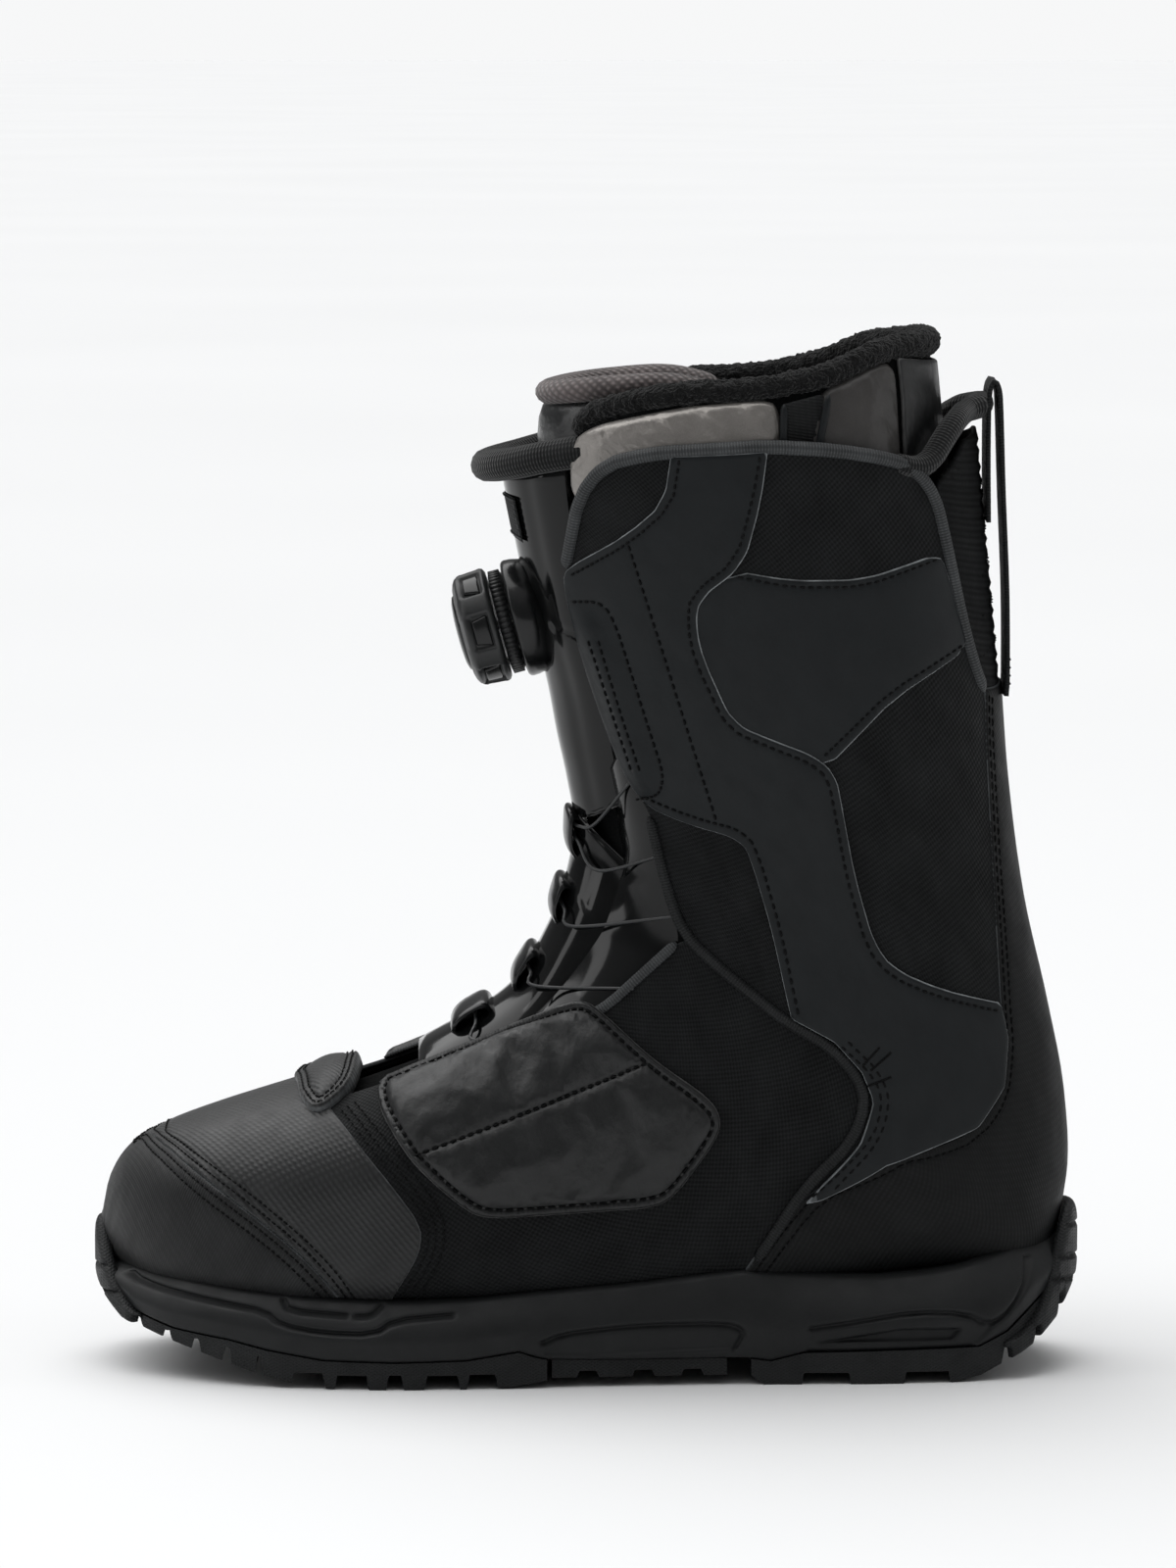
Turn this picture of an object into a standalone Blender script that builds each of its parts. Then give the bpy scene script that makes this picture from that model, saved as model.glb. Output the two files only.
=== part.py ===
"""Snowboard boot with a dial-laced tongue: a left boot, about EU 42.

Run with: blender --background --python part.py

Frame: metres, +Z up, the sole's middle at the origin on the ground, the toe towards -X and the outer
(lateral) side of the foot towards -Y. Sizes in the tables are millimetres and are scaled by MM.

The upper is built on one boot form, like a shoe last. Each station of the form is a chord in the side
view, from the front or top of the boot to its back or bottom, with the half width across it.
"""

import math

import bmesh
import bpy
import numpy as np
from mathutils import Matrix, Vector

MM = 0.001
GAP = 0.3  # clearance kept between neighbouring pieces

# ---------------------------------------------------------------- driving dimensions, in millimetres
SHELL = 3.4  # thickness of the outer boot's fabric and lining
OVERLAY = 1.5  # thickness of the bonded overlays
LINER = 6.0  # thickness of the liner's foam
LINER_FLOOR = 7.0  # height of the liner's underside above the form's
TONGUE = 2.6  # thickness of the moulded tongue
SIDES = 24  # points round each section of the form
CHORD_STEPS = 2  # rings between two stations

# front x, front z, back x, back z, half width, centre y, roundness at the front, roundness at the back
STATIONS = (
    (-150.5, 46, -150.2, 38, 6, 4.5, 2.0, 2.0),
    (-148, 57, -147.5, 32, 13, 4.5, 2.0, 2.4),
    (-142, 66, -141, 29, 23.5, 4, 2.0, 3.0),
    (-131, 73, -130, 26, 34, 3, 2.1, 4.2),
    (-115, 79, -113, 24, 42.5, 2, 2.2, 5.0),
    (-93, 86, -92, 22.5, 48.5, 1, 2.2, 5.4),
    (-68, 94, -65, 22, 51, 0, 2.1, 5.5),
    (-44, 104, -32, 22.5, 49.5, -1.5, 2.1, 5.5),
    (-24, 117, 15, 24, 44.5, -2.5, 2.1, 5.0),
    (-12, 136, 62, 26, 42, -2, 2.1, 4.4),
    (-6, 153, 104, 28, 41.5, -1, 2.1, 3.2),
    (-4, 168, 138, 32, 41, 0, 2.2, 2.8),
    (-6, 182, 147.5, 56, 41.5, 0, 2.2, 2.4),
    (-9, 196, 147, 84, 42.5, 0, 2.3, 2.2),
    (-12, 212, 141.5, 113, 45, 0, 2.3, 2.2),
    (-17, 232, 134, 146, 48.5, 0, 2.3, 2.2),
    (-21, 252, 129, 182, 51, 0, 2.3, 2.2),
    (-25, 272, 126, 220, 52.5, 0, 2.3, 2.2),
    (-29, 294, 122, 262, 53.5, 0, 2.3, 2.2),
    (-33, 318, 118, 306, 54, 0, 2.3, 2.2),
    (-36, 340, 115, 332, 54, 0, 2.3, 2.2),
)
TOE_TIP_X = -150.5
TOE_FADE = 60.0  # length over which an inner layer's toe is moved back

# The sole seen from above: toe tip, outer side, heel, inner side.
SOLE_PLAN = (
    (-151.4, 4), (-146, -17), (-130, -36), (-103, -49), (-66, -55), (-30, -53.5), (10, -49.5),
    (50, -46), (90, -45), (124, -39), (143, -22), (150, 0), (143, 22), (124, 38), (90, 43.5),
    (50, 42), (15, 43), (-26, 49.5), (-64, 55), (-100, 51.5), (-128, 42), (-145, 25),
)

# Seams of the outer boot in the side view, from front to back or from top to bottom.
TOE_CAP_SEAM = (
    (-144, 86), (-140, 74), (-131, 70), (-120, 64), (-105, 54), (-90, 42), (-81, 33), (-75, 24), (-73, 10),
)
VAMP_SEAM = (
    (-76, 100), (-76, 82), (-67, 71), (-60, 63), (-50, 50), (-51, 42), (-55, 35), (-60, 26), (-60, 10),
)
HEEL_SEAM = (
    (46, 8), (51, 37), (60, 51), (70, 58), (90, 68), (118, 79), (126, 90), (127, 105), (126, 115),
    (123, 163), (121, 201), (120.5, 212.5),
)
GUSSET_EDGE = (
    (86, 300), (90, 284), (98.5, 280.5), (105, 274), (108.5, 258), (114, 232), (118, 218), (120.5, 212.5),
    (140, 204),
)
THROAT = (
    (-92, 130), (-88, 94), (-80, 85), (-64, 90.5), (-45, 98), (-20, 109), (-2, 112), (5, 115), (27, 135),
    (24, 153), (19, 174), (12, 187), (6, 203), (0, 221), (-6.2, 244.6), (-6.5, 251.7),
    (-2, 273), (8, 281.5),
    (8, 345), (-92, 345),
)
TOP_LINE = (
    (-60, 281), (8, 281), (18, 284), (53, 287), (74, 286), (90, 284), (98.5, 281), (104, 275.5),
    (108, 275), (111, 281), (115, 288), (118, 291), (150, 292), (150, 400), (-60, 400),
)

# Overlays on the outer boot, in the side view.
CUFF_OVERLAY = (
    (25, 283), (54, 284), (52, 271), (47, 253), (33, 241.5), (33, 233), (35, 224), (44, 204), (56, 199),
    (69, 194), (75, 188), (77, 178), (81, 157), (87, 136), (93, 128), (107, 122), (121.5, 117), (123, 106),
    (90, 104), (75, 107), (62, 116), (56, 140), (50, 161), (47, 168), (30, 173), (20, 179),
    (14, 188), (8, 203),
    (2, 221), (-4, 243), (-4, 250), (12, 261), (23, 271),
)
ANKLE_OVERLAY = (
    (87, 96.5), (86, 87), (82.5, 76), (73, 62.5), (90, 70), (117, 81), (124, 91), (124, 95.5),
)
REAR_OVERLAY = (
    (48.5, 249), (61, 247), (83, 247), (105, 255), (107, 250), (111, 237), (114, 226),
    (92, 211), (76.5, 191),
    (70, 196.5), (57, 201.5), (46, 206), (37, 225), (35.5, 240),
)
INSTEP_COVER = (
    (-66, 88.5), (-51, 95), (-30, 104), (-2, 117), (5, 114), (20, 100), (37, 88), (41, 82),
    (39, 75), (24, 55),
    (-34, 51), (-54, 70),
)

# The ankle flex hinge and the soft band that bends round it.
ANKLE_X, ANKLE_Z = 80.0, 100.0
FLEX_HALF = 1.2  # half height of the band at the hinge
FLEX_FRONT = (11.0, 23.5)  # degrees above level, towards the toe
FLEX_REAR = (-2.5, 2.5)  # degrees above level, towards the heel
FLEX_REACH = 170.0

TONGUE_HINGE_Z = 171.0
TONGUE_TOP_Z = 272.0
GUIDE_Z = (166, 147, 125, 106)  # heights of the lace guides on the tongue's front

# The dial, on an axis that leaves the tongue forwards and a little down.
DIAL_BASE_X, DIAL_BASE_Z = -20.0, 232.0
DIAL_TILT = 15.0
KNOB_RADIUS = 17.6
KNOB_RIBS = 6


# ---------------------------------------------------------------- materials
def material(name, colour, roughness, metallic=0.0):
    made = bpy.data.materials.new(name)
    made.use_nodes = True
    shader = made.node_tree.nodes["Principled BSDF"]
    shader.inputs["Base Color"].default_value = (*colour, 1)
    shader.inputs["Roughness"].default_value = roughness
    shader.inputs["Metallic"].default_value = metallic
    return made


def make_materials():
    return {
        "rubber": material("rubber", (0.018, 0.019, 0.02), 0.75),
        "midsole_foam": material("midsole_foam", (0.025, 0.027, 0.029), 0.6),
        "toe_fabric": material("toe_fabric", (0.02, 0.021, 0.023), 0.7),
        "ballistic_fabric": material("ballistic_fabric", (0.015, 0.015, 0.016), 0.8),
        "synthetic_leather": material("synthetic_leather", (0.022, 0.025, 0.028), 0.55),
        "soft_leather": material("soft_leather", (0.03, 0.028, 0.027), 0.45),
        "gloss_plastic": material("gloss_plastic", (0.012, 0.013, 0.014), 0.12),
        "matt_plastic": material("matt_plastic", (0.02, 0.021, 0.022), 0.4),
        "knit_padding": material("knit_padding", (0.012, 0.012, 0.012), 0.9),
        "fleece": material("fleece", (0.016, 0.014, 0.014), 1.0),
        "liner_foam": material("liner_foam", (0.13, 0.12, 0.11), 0.5),
        "liner_knit": material("liner_knit", (0.16, 0.13, 0.13), 0.9),
        "webbing": material("webbing", (0.02, 0.02, 0.021), 0.8),
        "steel": material("steel", (0.35, 0.35, 0.36), 0.35, 1.0),
        "lace_cable": material("lace_cable", (0.08, 0.085, 0.09), 0.4, 0.6),
        "board": material("board", (0.3, 0.27, 0.2), 0.9),
    }


# ---------------------------------------------------------------- meshes and collections
def new_object(name, mesh, helper=False):
    made = bpy.data.objects.new(name, mesh)
    bpy.data.collections["cutters" if helper else "snowboard_boot"].objects.link(made)
    made.hide_render = helper
    if helper:
        made.display_type = "WIRE"
    return made


def mesh_of(name, points, faces):
    mesh = bpy.data.meshes.new(name)
    mesh.from_pydata([tuple(p) for p in points], [], faces)
    mesh.update()
    return mesh


def recalculate(mesh):
    made = bmesh.new()
    made.from_mesh(mesh)
    bmesh.ops.remove_doubles(made, verts=made.verts, dist=1e-6)
    bmesh.ops.recalc_face_normals(made, faces=made.faces)
    bmesh.ops.triangulate(made, faces=made.faces)
    made.to_mesh(mesh)
    made.free()
    return mesh


def frozen(obj):
    """The object with its modifiers applied and its place moved into its mesh."""
    bpy.context.view_layer.update()
    graph = bpy.context.evaluated_depsgraph_get()
    mesh = bpy.data.meshes.new_from_object(obj.evaluated_get(graph))
    mesh.transform(obj.matrix_world)
    obj.modifiers.clear()
    obj.matrix_world = Matrix.Identity(4)
    if obj.type == "MESH":
        obj.data = mesh
        return obj
    name, helper = obj.name, obj.hide_render
    bpy.data.objects.remove(obj)
    return new_object(name, recalculate(mesh), helper)


def boolean(obj, operation, *others):
    for other in others:
        modifier = obj.modifiers.new(operation.lower(), "BOOLEAN")
        modifier.operation = operation
        modifier.object = other
    return frozen(obj)


def loose_parts(obj):
    """The separate bodies of a mesh, each as a list of its faces' vertices and its own points."""
    made = bmesh.new()
    made.from_mesh(obj.data)
    made.verts.ensure_lookup_table()
    seen, parts = set(), []
    for start in made.verts:
        if start.index in seen:
            continue
        stack, members = [start], {start.index}
        while stack:
            for edge in stack.pop().link_edges:
                for vert in edge.verts:
                    if vert.index not in members:
                        members.add(vert.index)
                        stack.append(vert)
        seen |= members
        order = {index: place for place, index in enumerate(sorted(members))}
        points = [made.verts[index].co.copy() for index in sorted(members)]
        inside = [face for face in made.faces if face.verts[0].index in members]
        parts.append((points, [[order[v.index] for v in face.verts] for face in inside]))
    made.free()
    return [part for part in parts if part[1]]


def name_parts(obj, seeds, finish):
    """Splits obj into its loose bodies and names each after the nearest seed point, in millimetres.
    Crumbs smaller than a named body are dropped."""
    parts = loose_parts(obj)
    helper_name = obj.name
    bpy.data.objects.remove(obj)
    taken = set()
    for name, seed in seeds.items():
        target = Vector(seed) * MM

        def distance(part):
            return min((point - target).length for point in part[0])

        best = min((part for part in parts if id(part) not in taken), key=distance, default=None)
        if best is None:
            raise ValueError(f"{helper_name} has no body left for {name}")
        taken.add(id(best))
        made = new_object(name, mesh_of(name, *best))
        made.data.materials.append(finish[name] if isinstance(finish, dict) else finish)


# ---------------------------------------------------------------- the boot form
def catmull(rows, steps):
    """A smooth curve through rows, with steps intervals between each pair."""
    rows = np.array(rows, float)
    padded = np.vstack([2 * rows[0] - rows[1], rows, 2 * rows[-1] - rows[-2]])
    made = []
    for i in range(len(rows) - 1):
        before, start, end, after = padded[i : i + 4]
        for step in range(steps):
            t = step / steps
            made.append(
                0.5
                * (
                    2 * start
                    + (end - before) * t
                    + (2 * before - 5 * start + 4 * end - after) * t**2
                    + (3 * start - before - 3 * end + after) * t**3
                )
            )
    made.append(rows[-1])
    return np.array(made)


def smooth(t):
    t = min(1.0, max(0.0, t))
    return t * t * (3 - 2 * t)


def section(row, front, back, side, toe, sides):
    """One closed ring of the form, inset from the front, back and sides by these millimetres."""
    start, end = np.array((row[0], row[1])), np.array((row[2], row[3]))
    length = np.linalg.norm(end - start)
    along = (end - start) / length
    room = 0.42 * length
    start, end = start + along * min(front, room), end - along * min(back, room)
    half = max(row[4] - side, 0.35 * row[4])
    points = []
    for k in range(sides):
        angle = 2 * math.pi * k / sides
        turn = angle if angle <= math.pi else 2 * math.pi - angle
        power = row[6] if turn < math.pi / 2 else row[7]
        reach = abs(math.cos(turn)) ** (2 / power) * (-1 if turn < math.pi / 2 else 1)
        across = math.sin(turn) ** (2 / power) if 0 < turn < math.pi else 0.0
        x, z = start + (end - start) * (0.5 + 0.5 * reach)
        y = row[5] + half * across * (-1 if angle <= math.pi else 1)
        x += toe * smooth(1 - (x - TOE_TIP_X) / TOE_FADE)
        points.append(Vector((x, y, z)) * MM)
    return points


def form_rings(inset, first=0, last=None, steps=CHORD_STEPS, sides=SIDES):
    """Rings of the form. inset is (front, back, side, toe), or a function of the ring's front height."""
    rows = catmull(STATIONS[first:last], steps)
    rings = []
    for row in rows:
        front, back, side, toe = inset(row[1]) if callable(inset) else inset
        rings.append(section(row, front, back, side, toe, sides))
    return rings


def skin_faces(rings, start=0):
    sides = len(rings[0])
    faces = []
    for i in range(len(rings) - 1):
        for k in range(sides):
            a, b = start + i * sides + k, start + i * sides + (k + 1) % sides
            faces.append((a, b, b + sides, a + sides))
    return faces


def form_solid(name, inset, helper=True, **limits):
    """The form as one solid, closed at both ends."""
    rings = form_rings(inset, **limits)
    sides = len(rings[0])
    points = [p for ring in rings for p in ring]
    faces = skin_faces(rings)
    faces.append(tuple(range(sides))[::-1])
    faces.append(tuple(len(points) - sides + k for k in range(sides)))
    return new_object(name, recalculate(mesh_of(name, points, faces)), helper)


def form_shell(name, outer, inner, **limits):
    """A wall between two insets of the form, closed at the toe and open at the top."""
    outside, inside = form_rings(outer, **limits), form_rings(inner, **limits)
    sides, count = len(outside[0]), len(outside)
    points = [p for ring in outside + inside for p in ring]
    faces = skin_faces(outside)
    faces += [face[::-1] for face in skin_faces(inside, count * sides)]
    for k in range(sides):
        a, b = (count - 1) * sides + k, (count - 1) * sides + (k + 1) % sides
        faces.append((a, b, b + count * sides, a + count * sides))
    faces.append(tuple(range(sides))[::-1])
    faces.append(tuple(count * sides + k for k in range(sides)))
    return new_object(name, recalculate(mesh_of(name, points, faces)), True)


# ---------------------------------------------------------------- cutters
def side_prism(name, outline, low=-90, high=90):
    """An outline in the side view (x, z), carried across from y low to y high."""
    made = bmesh.new()
    verts = [made.verts.new((x * MM, low * MM, z * MM)) for x, z in outline]
    face = made.faces.new(verts)
    grown = bmesh.ops.extrude_face_region(made, geom=[face])
    moved = [g for g in grown["geom"] if isinstance(g, bmesh.types.BMVert)]
    bmesh.ops.translate(made, verts=moved, vec=(0, (high - low) * MM, 0))
    mesh = bpy.data.meshes.new(name)
    made.to_mesh(mesh)
    made.free()
    return new_object(name, recalculate(mesh), True)


def seam_knife(name, line, width=2 * GAP):
    """A thin curtain along a line of the side view, which parts what it crosses."""
    points = [(x * MM, y * MM, z * MM) for y in (-90, 90) for x, z in line]
    count = len(line)
    faces = [(i, i + 1, count + i + 1, count + i) for i in range(count - 1)]
    made = new_object(name, mesh_of(name, points, faces), True)
    thick = made.modifiers.new("width", "SOLIDIFY")
    thick.thickness = width * MM
    thick.offset = 0
    thick.use_even_offset = True
    made = frozen(made)
    recalculate(made.data)
    return made


def plan_curve(outset=0.0, steps=3):
    """The sole's outline from above, grown by outset millimetres along its normal."""
    closed = SOLE_PLAN + SOLE_PLAN[:3]
    line = catmull((SOLE_PLAN[-1],) + closed, steps)[steps : steps * (len(SOLE_PLAN) + 1)]
    grown = []
    for i, point in enumerate(line):
        ahead, behind = line[(i + 1) % len(line)], line[i - 1]
        tangent = (ahead - behind) / np.linalg.norm(ahead - behind)
        grown.append(point + outset * np.array((-tangent[1], tangent[0])) * plan_turn())
    return grown


def plan_turn():
    """1 or -1, so that a positive outset grows the outline whichever way round it is listed."""
    area = sum(
        a[0] * b[1] - b[0] * a[1] for a, b in zip(SOLE_PLAN, SOLE_PLAN[1:] + SOLE_PLAN[:1])
    )
    return -1 if area > 0 else 1


def plan_prism(name, outset, low, high, steps=3):
    line = plan_curve(outset, steps)
    count = len(line)
    points = [(x * MM, y * MM, z * MM) for z in (low, high) for x, y in line]
    faces = [(i, (i + 1) % count, count + (i + 1) % count, count + i) for i in range(count)]
    faces += [tuple(range(count))[::-1], tuple(range(count, 2 * count))]
    return new_object(name, recalculate(mesh_of(name, points, faces)), True)


def flex_ray(angle, side, towards):
    """The far end of one edge of the flex band. towards is -1 for the toe and 1 for the heel."""
    turn = math.radians(angle)
    return (
        ANKLE_X + towards * FLEX_REACH * math.cos(turn),
        ANKLE_Z + side * FLEX_HALF + FLEX_REACH * math.sin(turn),
    )


def flex_edge(side):
    """The band's lower (-1) or upper (1) edge, from the toe side to the heel side."""
    which = 0 if side < 0 else 1
    return (
        flex_ray(FLEX_FRONT[which], side, -1),
        (ANKLE_X, ANKLE_Z + side * FLEX_HALF),
        flex_ray(FLEX_REAR[which], side, 1),
    )


def above_band(name, spare=0.0):
    """Everything on the cuff's side of the flex band."""
    edge = [(x, z + spare) for x, z in flex_edge(1)]
    return side_prism(name, edge + [(260, 420), (-120, 420)])


def below_band(name, spare=0.0):
    """Everything on the foot's side of the flex band."""
    edge = [(x, z - spare) for x, z in flex_edge(-1)]
    return side_prism(name, edge + [(260, -20), (-200, -20), (-200, 130)])


# ---------------------------------------------------------------- points and strips on the form
DENSE = catmull(STATIONS, 12)


def row_at(front_z):
    """The form's row whose front is at this height."""
    return np.array([np.interp(front_z, DENSE[:, 1], DENSE[:, k]) for k in range(8)])


def surface_y(x, z, inset=0.0, side=-1):
    """y where the form, inset all round, passes the side view's point (x, z)."""

    def miss(row):
        chord = row[2:4] - row[:2]
        return chord[0] * (z - row[1]) - chord[1] * (x - row[0])

    low, high = 0, len(DENSE) - 1
    while high - low > 1:
        middle = (low + high) // 2
        if miss(DENSE[middle]) > 0:
            low = middle
        else:
            high = middle
    a, b = miss(DENSE[low]), miss(DENSE[high])
    t = min(1.0, max(0.0, a / (a - b) if a != b else 0.0))
    row = DENSE[low] * (1 - t) + DENSE[high] * t
    chord = row[2:4] - row[:2]
    length = np.linalg.norm(chord)
    along = np.dot(np.array((x, z)) - row[:2], chord) / length
    reach = 2 * (along - inset) / (length - 2 * inset) - 1
    power = row[6] if reach < 0 else row[7]
    across = max(0.0, 1 - abs(min(1.0, max(-1.0, reach))) ** power) ** (1 / power)
    return row[5] + side * (row[4] - inset) * across


TONGUE_SHARE = 0.56  # the tongue's half width as a share of the boot's
TONGUE_DEPTH = 0.16  # how far its sides reach back, as a share of the chord


def tongue_section(row, offset, thickness, turn, count, inner=0.0):
    """Outer then inner points of a U-shaped strip that lies offset millimetres behind the tongue's face."""
    start, end = row[:2], row[2:4]
    length = np.linalg.norm(end - start)
    along = (end - start) / length
    half, depth = TONGUE_SHARE * row[4] - offset, TONGUE_DEPTH * length - offset
    points = []
    for more in (0.0, thickness):
        line = []
        for k in range(count):
            angle = math.radians(turn) * (2 * k / (count - 1) - 1)
            reach = math.cos(angle) ** (2 / 2.2)
            across = abs(math.sin(angle)) ** (2 / 2.2) * (1 if angle > 0 else -1)
            x, z = start + along * (offset + more + (depth - more) * (1 - reach))
            line.append(Vector((x, row[5] * 0.4 + (half - more) * across, z)) * MM)
        points.append(line)
    return points


def tongue_strip(name, low, high, offset, thickness, turn=85.0, count=13, rows=12, helper=False):
    """A strip of the tongue between two heights of its front edge."""
    points, faces = [], []
    for i in range(rows + 1):
        outer, inner = tongue_section(row_at(low + (high - low) * i / rows), offset, thickness, turn, count)
        points += outer + inner[::-1]
    around = 2 * count
    for i in range(rows):
        for k in range(around):
            a, b = i * around + k, i * around + (k + 1) % around
            faces.append((a, b, b + around, a + around))
    for base, flip in ((0, True), (rows * around, False)):
        for k in range(count - 1):
            face = (base + k, base + k + 1, base + around - 2 - k, base + around - 1 - k)
            faces.append(face[::-1] if flip else face)
    return new_object(name, recalculate(mesh_of(name, points, faces)), helper)


def tongue_bay(name, low, high, spare, rows=10, count=13):
    """The room inside the tongue's face, spare millimetres larger, as a solid."""
    points, faces = [], []
    for i in range(rows + 1):
        row = row_at(low + (high - low) * i / rows)
        outer, _ = tongue_section(row, -spare, 0.0, 90.0, count)
        points += outer
    for i in range(rows):
        for k in range(count):
            a, b = i * count + k, i * count + (k + 1) % count
            faces.append((a, b, b + count, a + count))
    faces.append(tuple(range(count))[::-1])
    faces.append(tuple(rows * count + k for k in range(count)))
    return new_object(name, recalculate(mesh_of(name, points, faces)), True)


def tongue_lane(name, low, high, spare, rows=10):
    """The straight-sided lane that the tongue swings through, as a solid."""
    points, faces = [], []
    for i in range(rows + 1):
        row = row_at(low + (high - low) * i / rows)
        start, end = row[:2], row[2:4]
        length = np.linalg.norm(end - start)
        along = (end - start) / length
        half = TONGUE_SHARE * row[4] + spare
        back = TONGUE_DEPTH * length + spare
        for reach, side in ((-12, -1), (-12, 1), (back, 1), (back, -1)):
            x, z = start + along * reach
            points.append(Vector((x, row[5] * 0.4 + half * side, z)) * MM)
    for i in range(rows):
        for k in range(4):
            a, b = i * 4 + k, i * 4 + (k + 1) % 4
            faces.append((a, b, b + 4, a + 4))
    faces += [(3, 2, 1, 0), tuple(rows * 4 + k for k in range(4))]
    return new_object(name, recalculate(mesh_of(name, points, faces)), True)


def tube(name, path, radius, squash=1.0, resolution=3):
    """A round cord or roll along a path of (x, y, z) points in millimetres."""
    curve = bpy.data.curves.new(name, "CURVE")
    curve.dimensions = "3D"
    curve.bevel_depth = radius * MM
    curve.bevel_resolution = resolution
    curve.use_fill_caps = True
    spline = curve.splines.new("POLY")
    spline.points.add(len(path) - 1)
    for point, place in zip(spline.points, path):
        point.co = (*(Vector(place) * MM), 1)
    return frozen(new_object(name, curve))


def ribbon_prism(name, line, thickness, low, high):
    """A band whose edge follows a line of the side view, carried across from y low to y high."""
    line = [Vector(p) for p in line]
    sides = ([], [])
    for i, point in enumerate(line):
        ahead, behind = line[min(i + 1, len(line) - 1)], line[max(i - 1, 0)]
        tangent = (ahead - behind).normalized()
        normal = Vector((-tangent.y, tangent.x)) * thickness / 2
        sides[0].append(tuple(point + normal))
        sides[1].append(tuple(point - normal))
    return side_prism(name, sides[0] + sides[1][::-1], low, high)


def turned(name, profile, steps=28, helper=False):
    """A solid of revolution round local Z from a closed (radius, z) profile in millimetres."""
    made = bmesh.new()
    rings = []
    for radius, z in profile:
        if radius < 1e-6:
            rings.append([made.verts.new((0, 0, z * MM))] * steps)
        else:
            rings.append(
                [
                    made.verts.new(
                        (
                            radius * MM * math.cos(2 * math.pi * k / steps),
                            radius * MM * math.sin(2 * math.pi * k / steps),
                            z * MM,
                        )
                    )
                    for k in range(steps)
                ]
            )
    for i in range(len(rings)):
        lower, upper = rings[i], rings[(i + 1) % len(rings)]
        for k in range(steps):
            corners = []
            for vert in (lower[k], lower[(k + 1) % steps], upper[(k + 1) % steps], upper[k]):
                if vert not in corners:
                    corners.append(vert)
            if len(corners) > 2:
                made.faces.new(corners)
    bmesh.ops.recalc_face_normals(made, faces=made.faces)
    mesh = bpy.data.meshes.new(name)
    made.to_mesh(mesh)
    made.free()
    return new_object(name, mesh, helper)


def box(name, low, high):
    """A box between two corners in millimetres."""
    made = bmesh.new()
    bmesh.ops.create_cube(made, size=1.0)
    low, high = Vector(low) * MM, Vector(high) * MM
    for vert in made.verts:
        vert.co = Vector((low[k] if vert.co[k] < 0 else high[k] for k in range(3)))
    mesh = bpy.data.meshes.new(name)
    made.to_mesh(mesh)
    made.free()
    return new_object(name, mesh, True)


def finish(obj, look):
    obj.hide_render = False
    obj.display_type = "TEXTURED"
    obj.data.materials.clear()
    obj.data.materials.append(look)
    for collection in list(obj.users_collection):
        collection.objects.unlink(obj)
    bpy.data.collections["snowboard_boot"].objects.link(obj)
    return obj


# ---------------------------------------------------------------- the sole
MIDSOLE_TOP = (
    (-156, 33.5), (-151, 33), (-145, 32.2), (-137, 31.5), (-127, 31), (-110, 29.1), (-90, 27.7),
    (-75, 27), (-60, 26.5), (-36, 27), (-15, 29), (12, 31), (30, 33), (48, 35), (60, 34), (75, 33),
    (90, 32.5), (105, 33.5), (116, 35), (129, 38), (143, 42), (156, 47),
)
MIDSOLE_BOTTOM = (
    (-156, 31), (-151.4, 30), (-144, 23.5), (-139, 19.4), (-127.4, 16.2), (-120.5, 15.4), (-110, 14.2),
    (-98, 11.6), (-81, 9), (-59, 8.5), (-37, 9), (-21, 11.5), (-16, 9.8), (-12, 9), (12, 8.5),
    (48, 8.5), (56, 7.5), (66, 10), (120, 11), (129, 15), (144, 28), (156, 38),
)
FOREFOOT_TREAD = (
    (-156, 30.6), (-156, 29), (-152, 25.5), (-148, 21), (-142.5, 16.6), (-130, 12.9), (-120.4, 10.2),
    (-110.8, 7.2), (-101, 4.2), (-92, 2), (-81, 0.4), (-72, 0), (-38, 0), (-22, 0.8), (-12, 2.5),
    (-12, 8.6), (-16, 9.4), (-21, 11.1), (-37, 8.6), (-59, 8.1), (-81, 8.6), (-98, 11.2), (-110, 13.8),
    (-120.5, 15), (-127.4, 15.8), (-139, 19), (-144, 23.1), (-151.4, 29.6),
)
SHANK_PAD = ((-11, 3), (43, 3), (47, 8.1), (12, 8.1), (-11, 8.5))
HEEL_TREAD = (
    (50, 3), (54, 0), (112, 0), (120.5, 2), (128, 5.5), (136, 10), (143.4, 16), (149.6, 25), (156, 36),
    (156, 37.6), (144, 27.6), (129, 14.6), (120, 10.6), (66, 9.6), (56, 7.1), (50, 7.8),
)
TOE_BUMPER = (
    (-158, 46), (-150.4, 45.4), (-148.8, 33), (-144, 25), (-139.5, 18.8), (-137, 15.5), (-143, 16.8),
    (-148, 20.5), (-152, 25), (-158, 29),
)
HEEL_BUMPER = (
    (158, 52), (147.5, 49.5), (145.5, 48), (144, 35), (142.2, 27), (139, 19.5), (133.5, 13.5), (128, 10.2),
    (128, 5.8), (136, 10), (143.4, 16), (149.6, 25), (158, 36),
)
# Grooves across the tread: x, half width and height of their ceiling.
FOREFOOT_SLOTS = (
    (-129.2, 0.8, 14.4), (-120, 0.8, 12.8), (-110.4, 0.8, 10.6), (-100.4, 0.8, 8), (-85.3, 4.6, 5),
    (-72, 4.6, 4.4), (-58.8, 2.2, 4.2), (-44.4, 4.8, 4.2), (-32.2, 4.2, 4.4),
)
HEEL_SLOTS = ((73, 6, 3.4), (104, 5.5, 3.4))
BUMPER_OUTSET = 2.6


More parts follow.
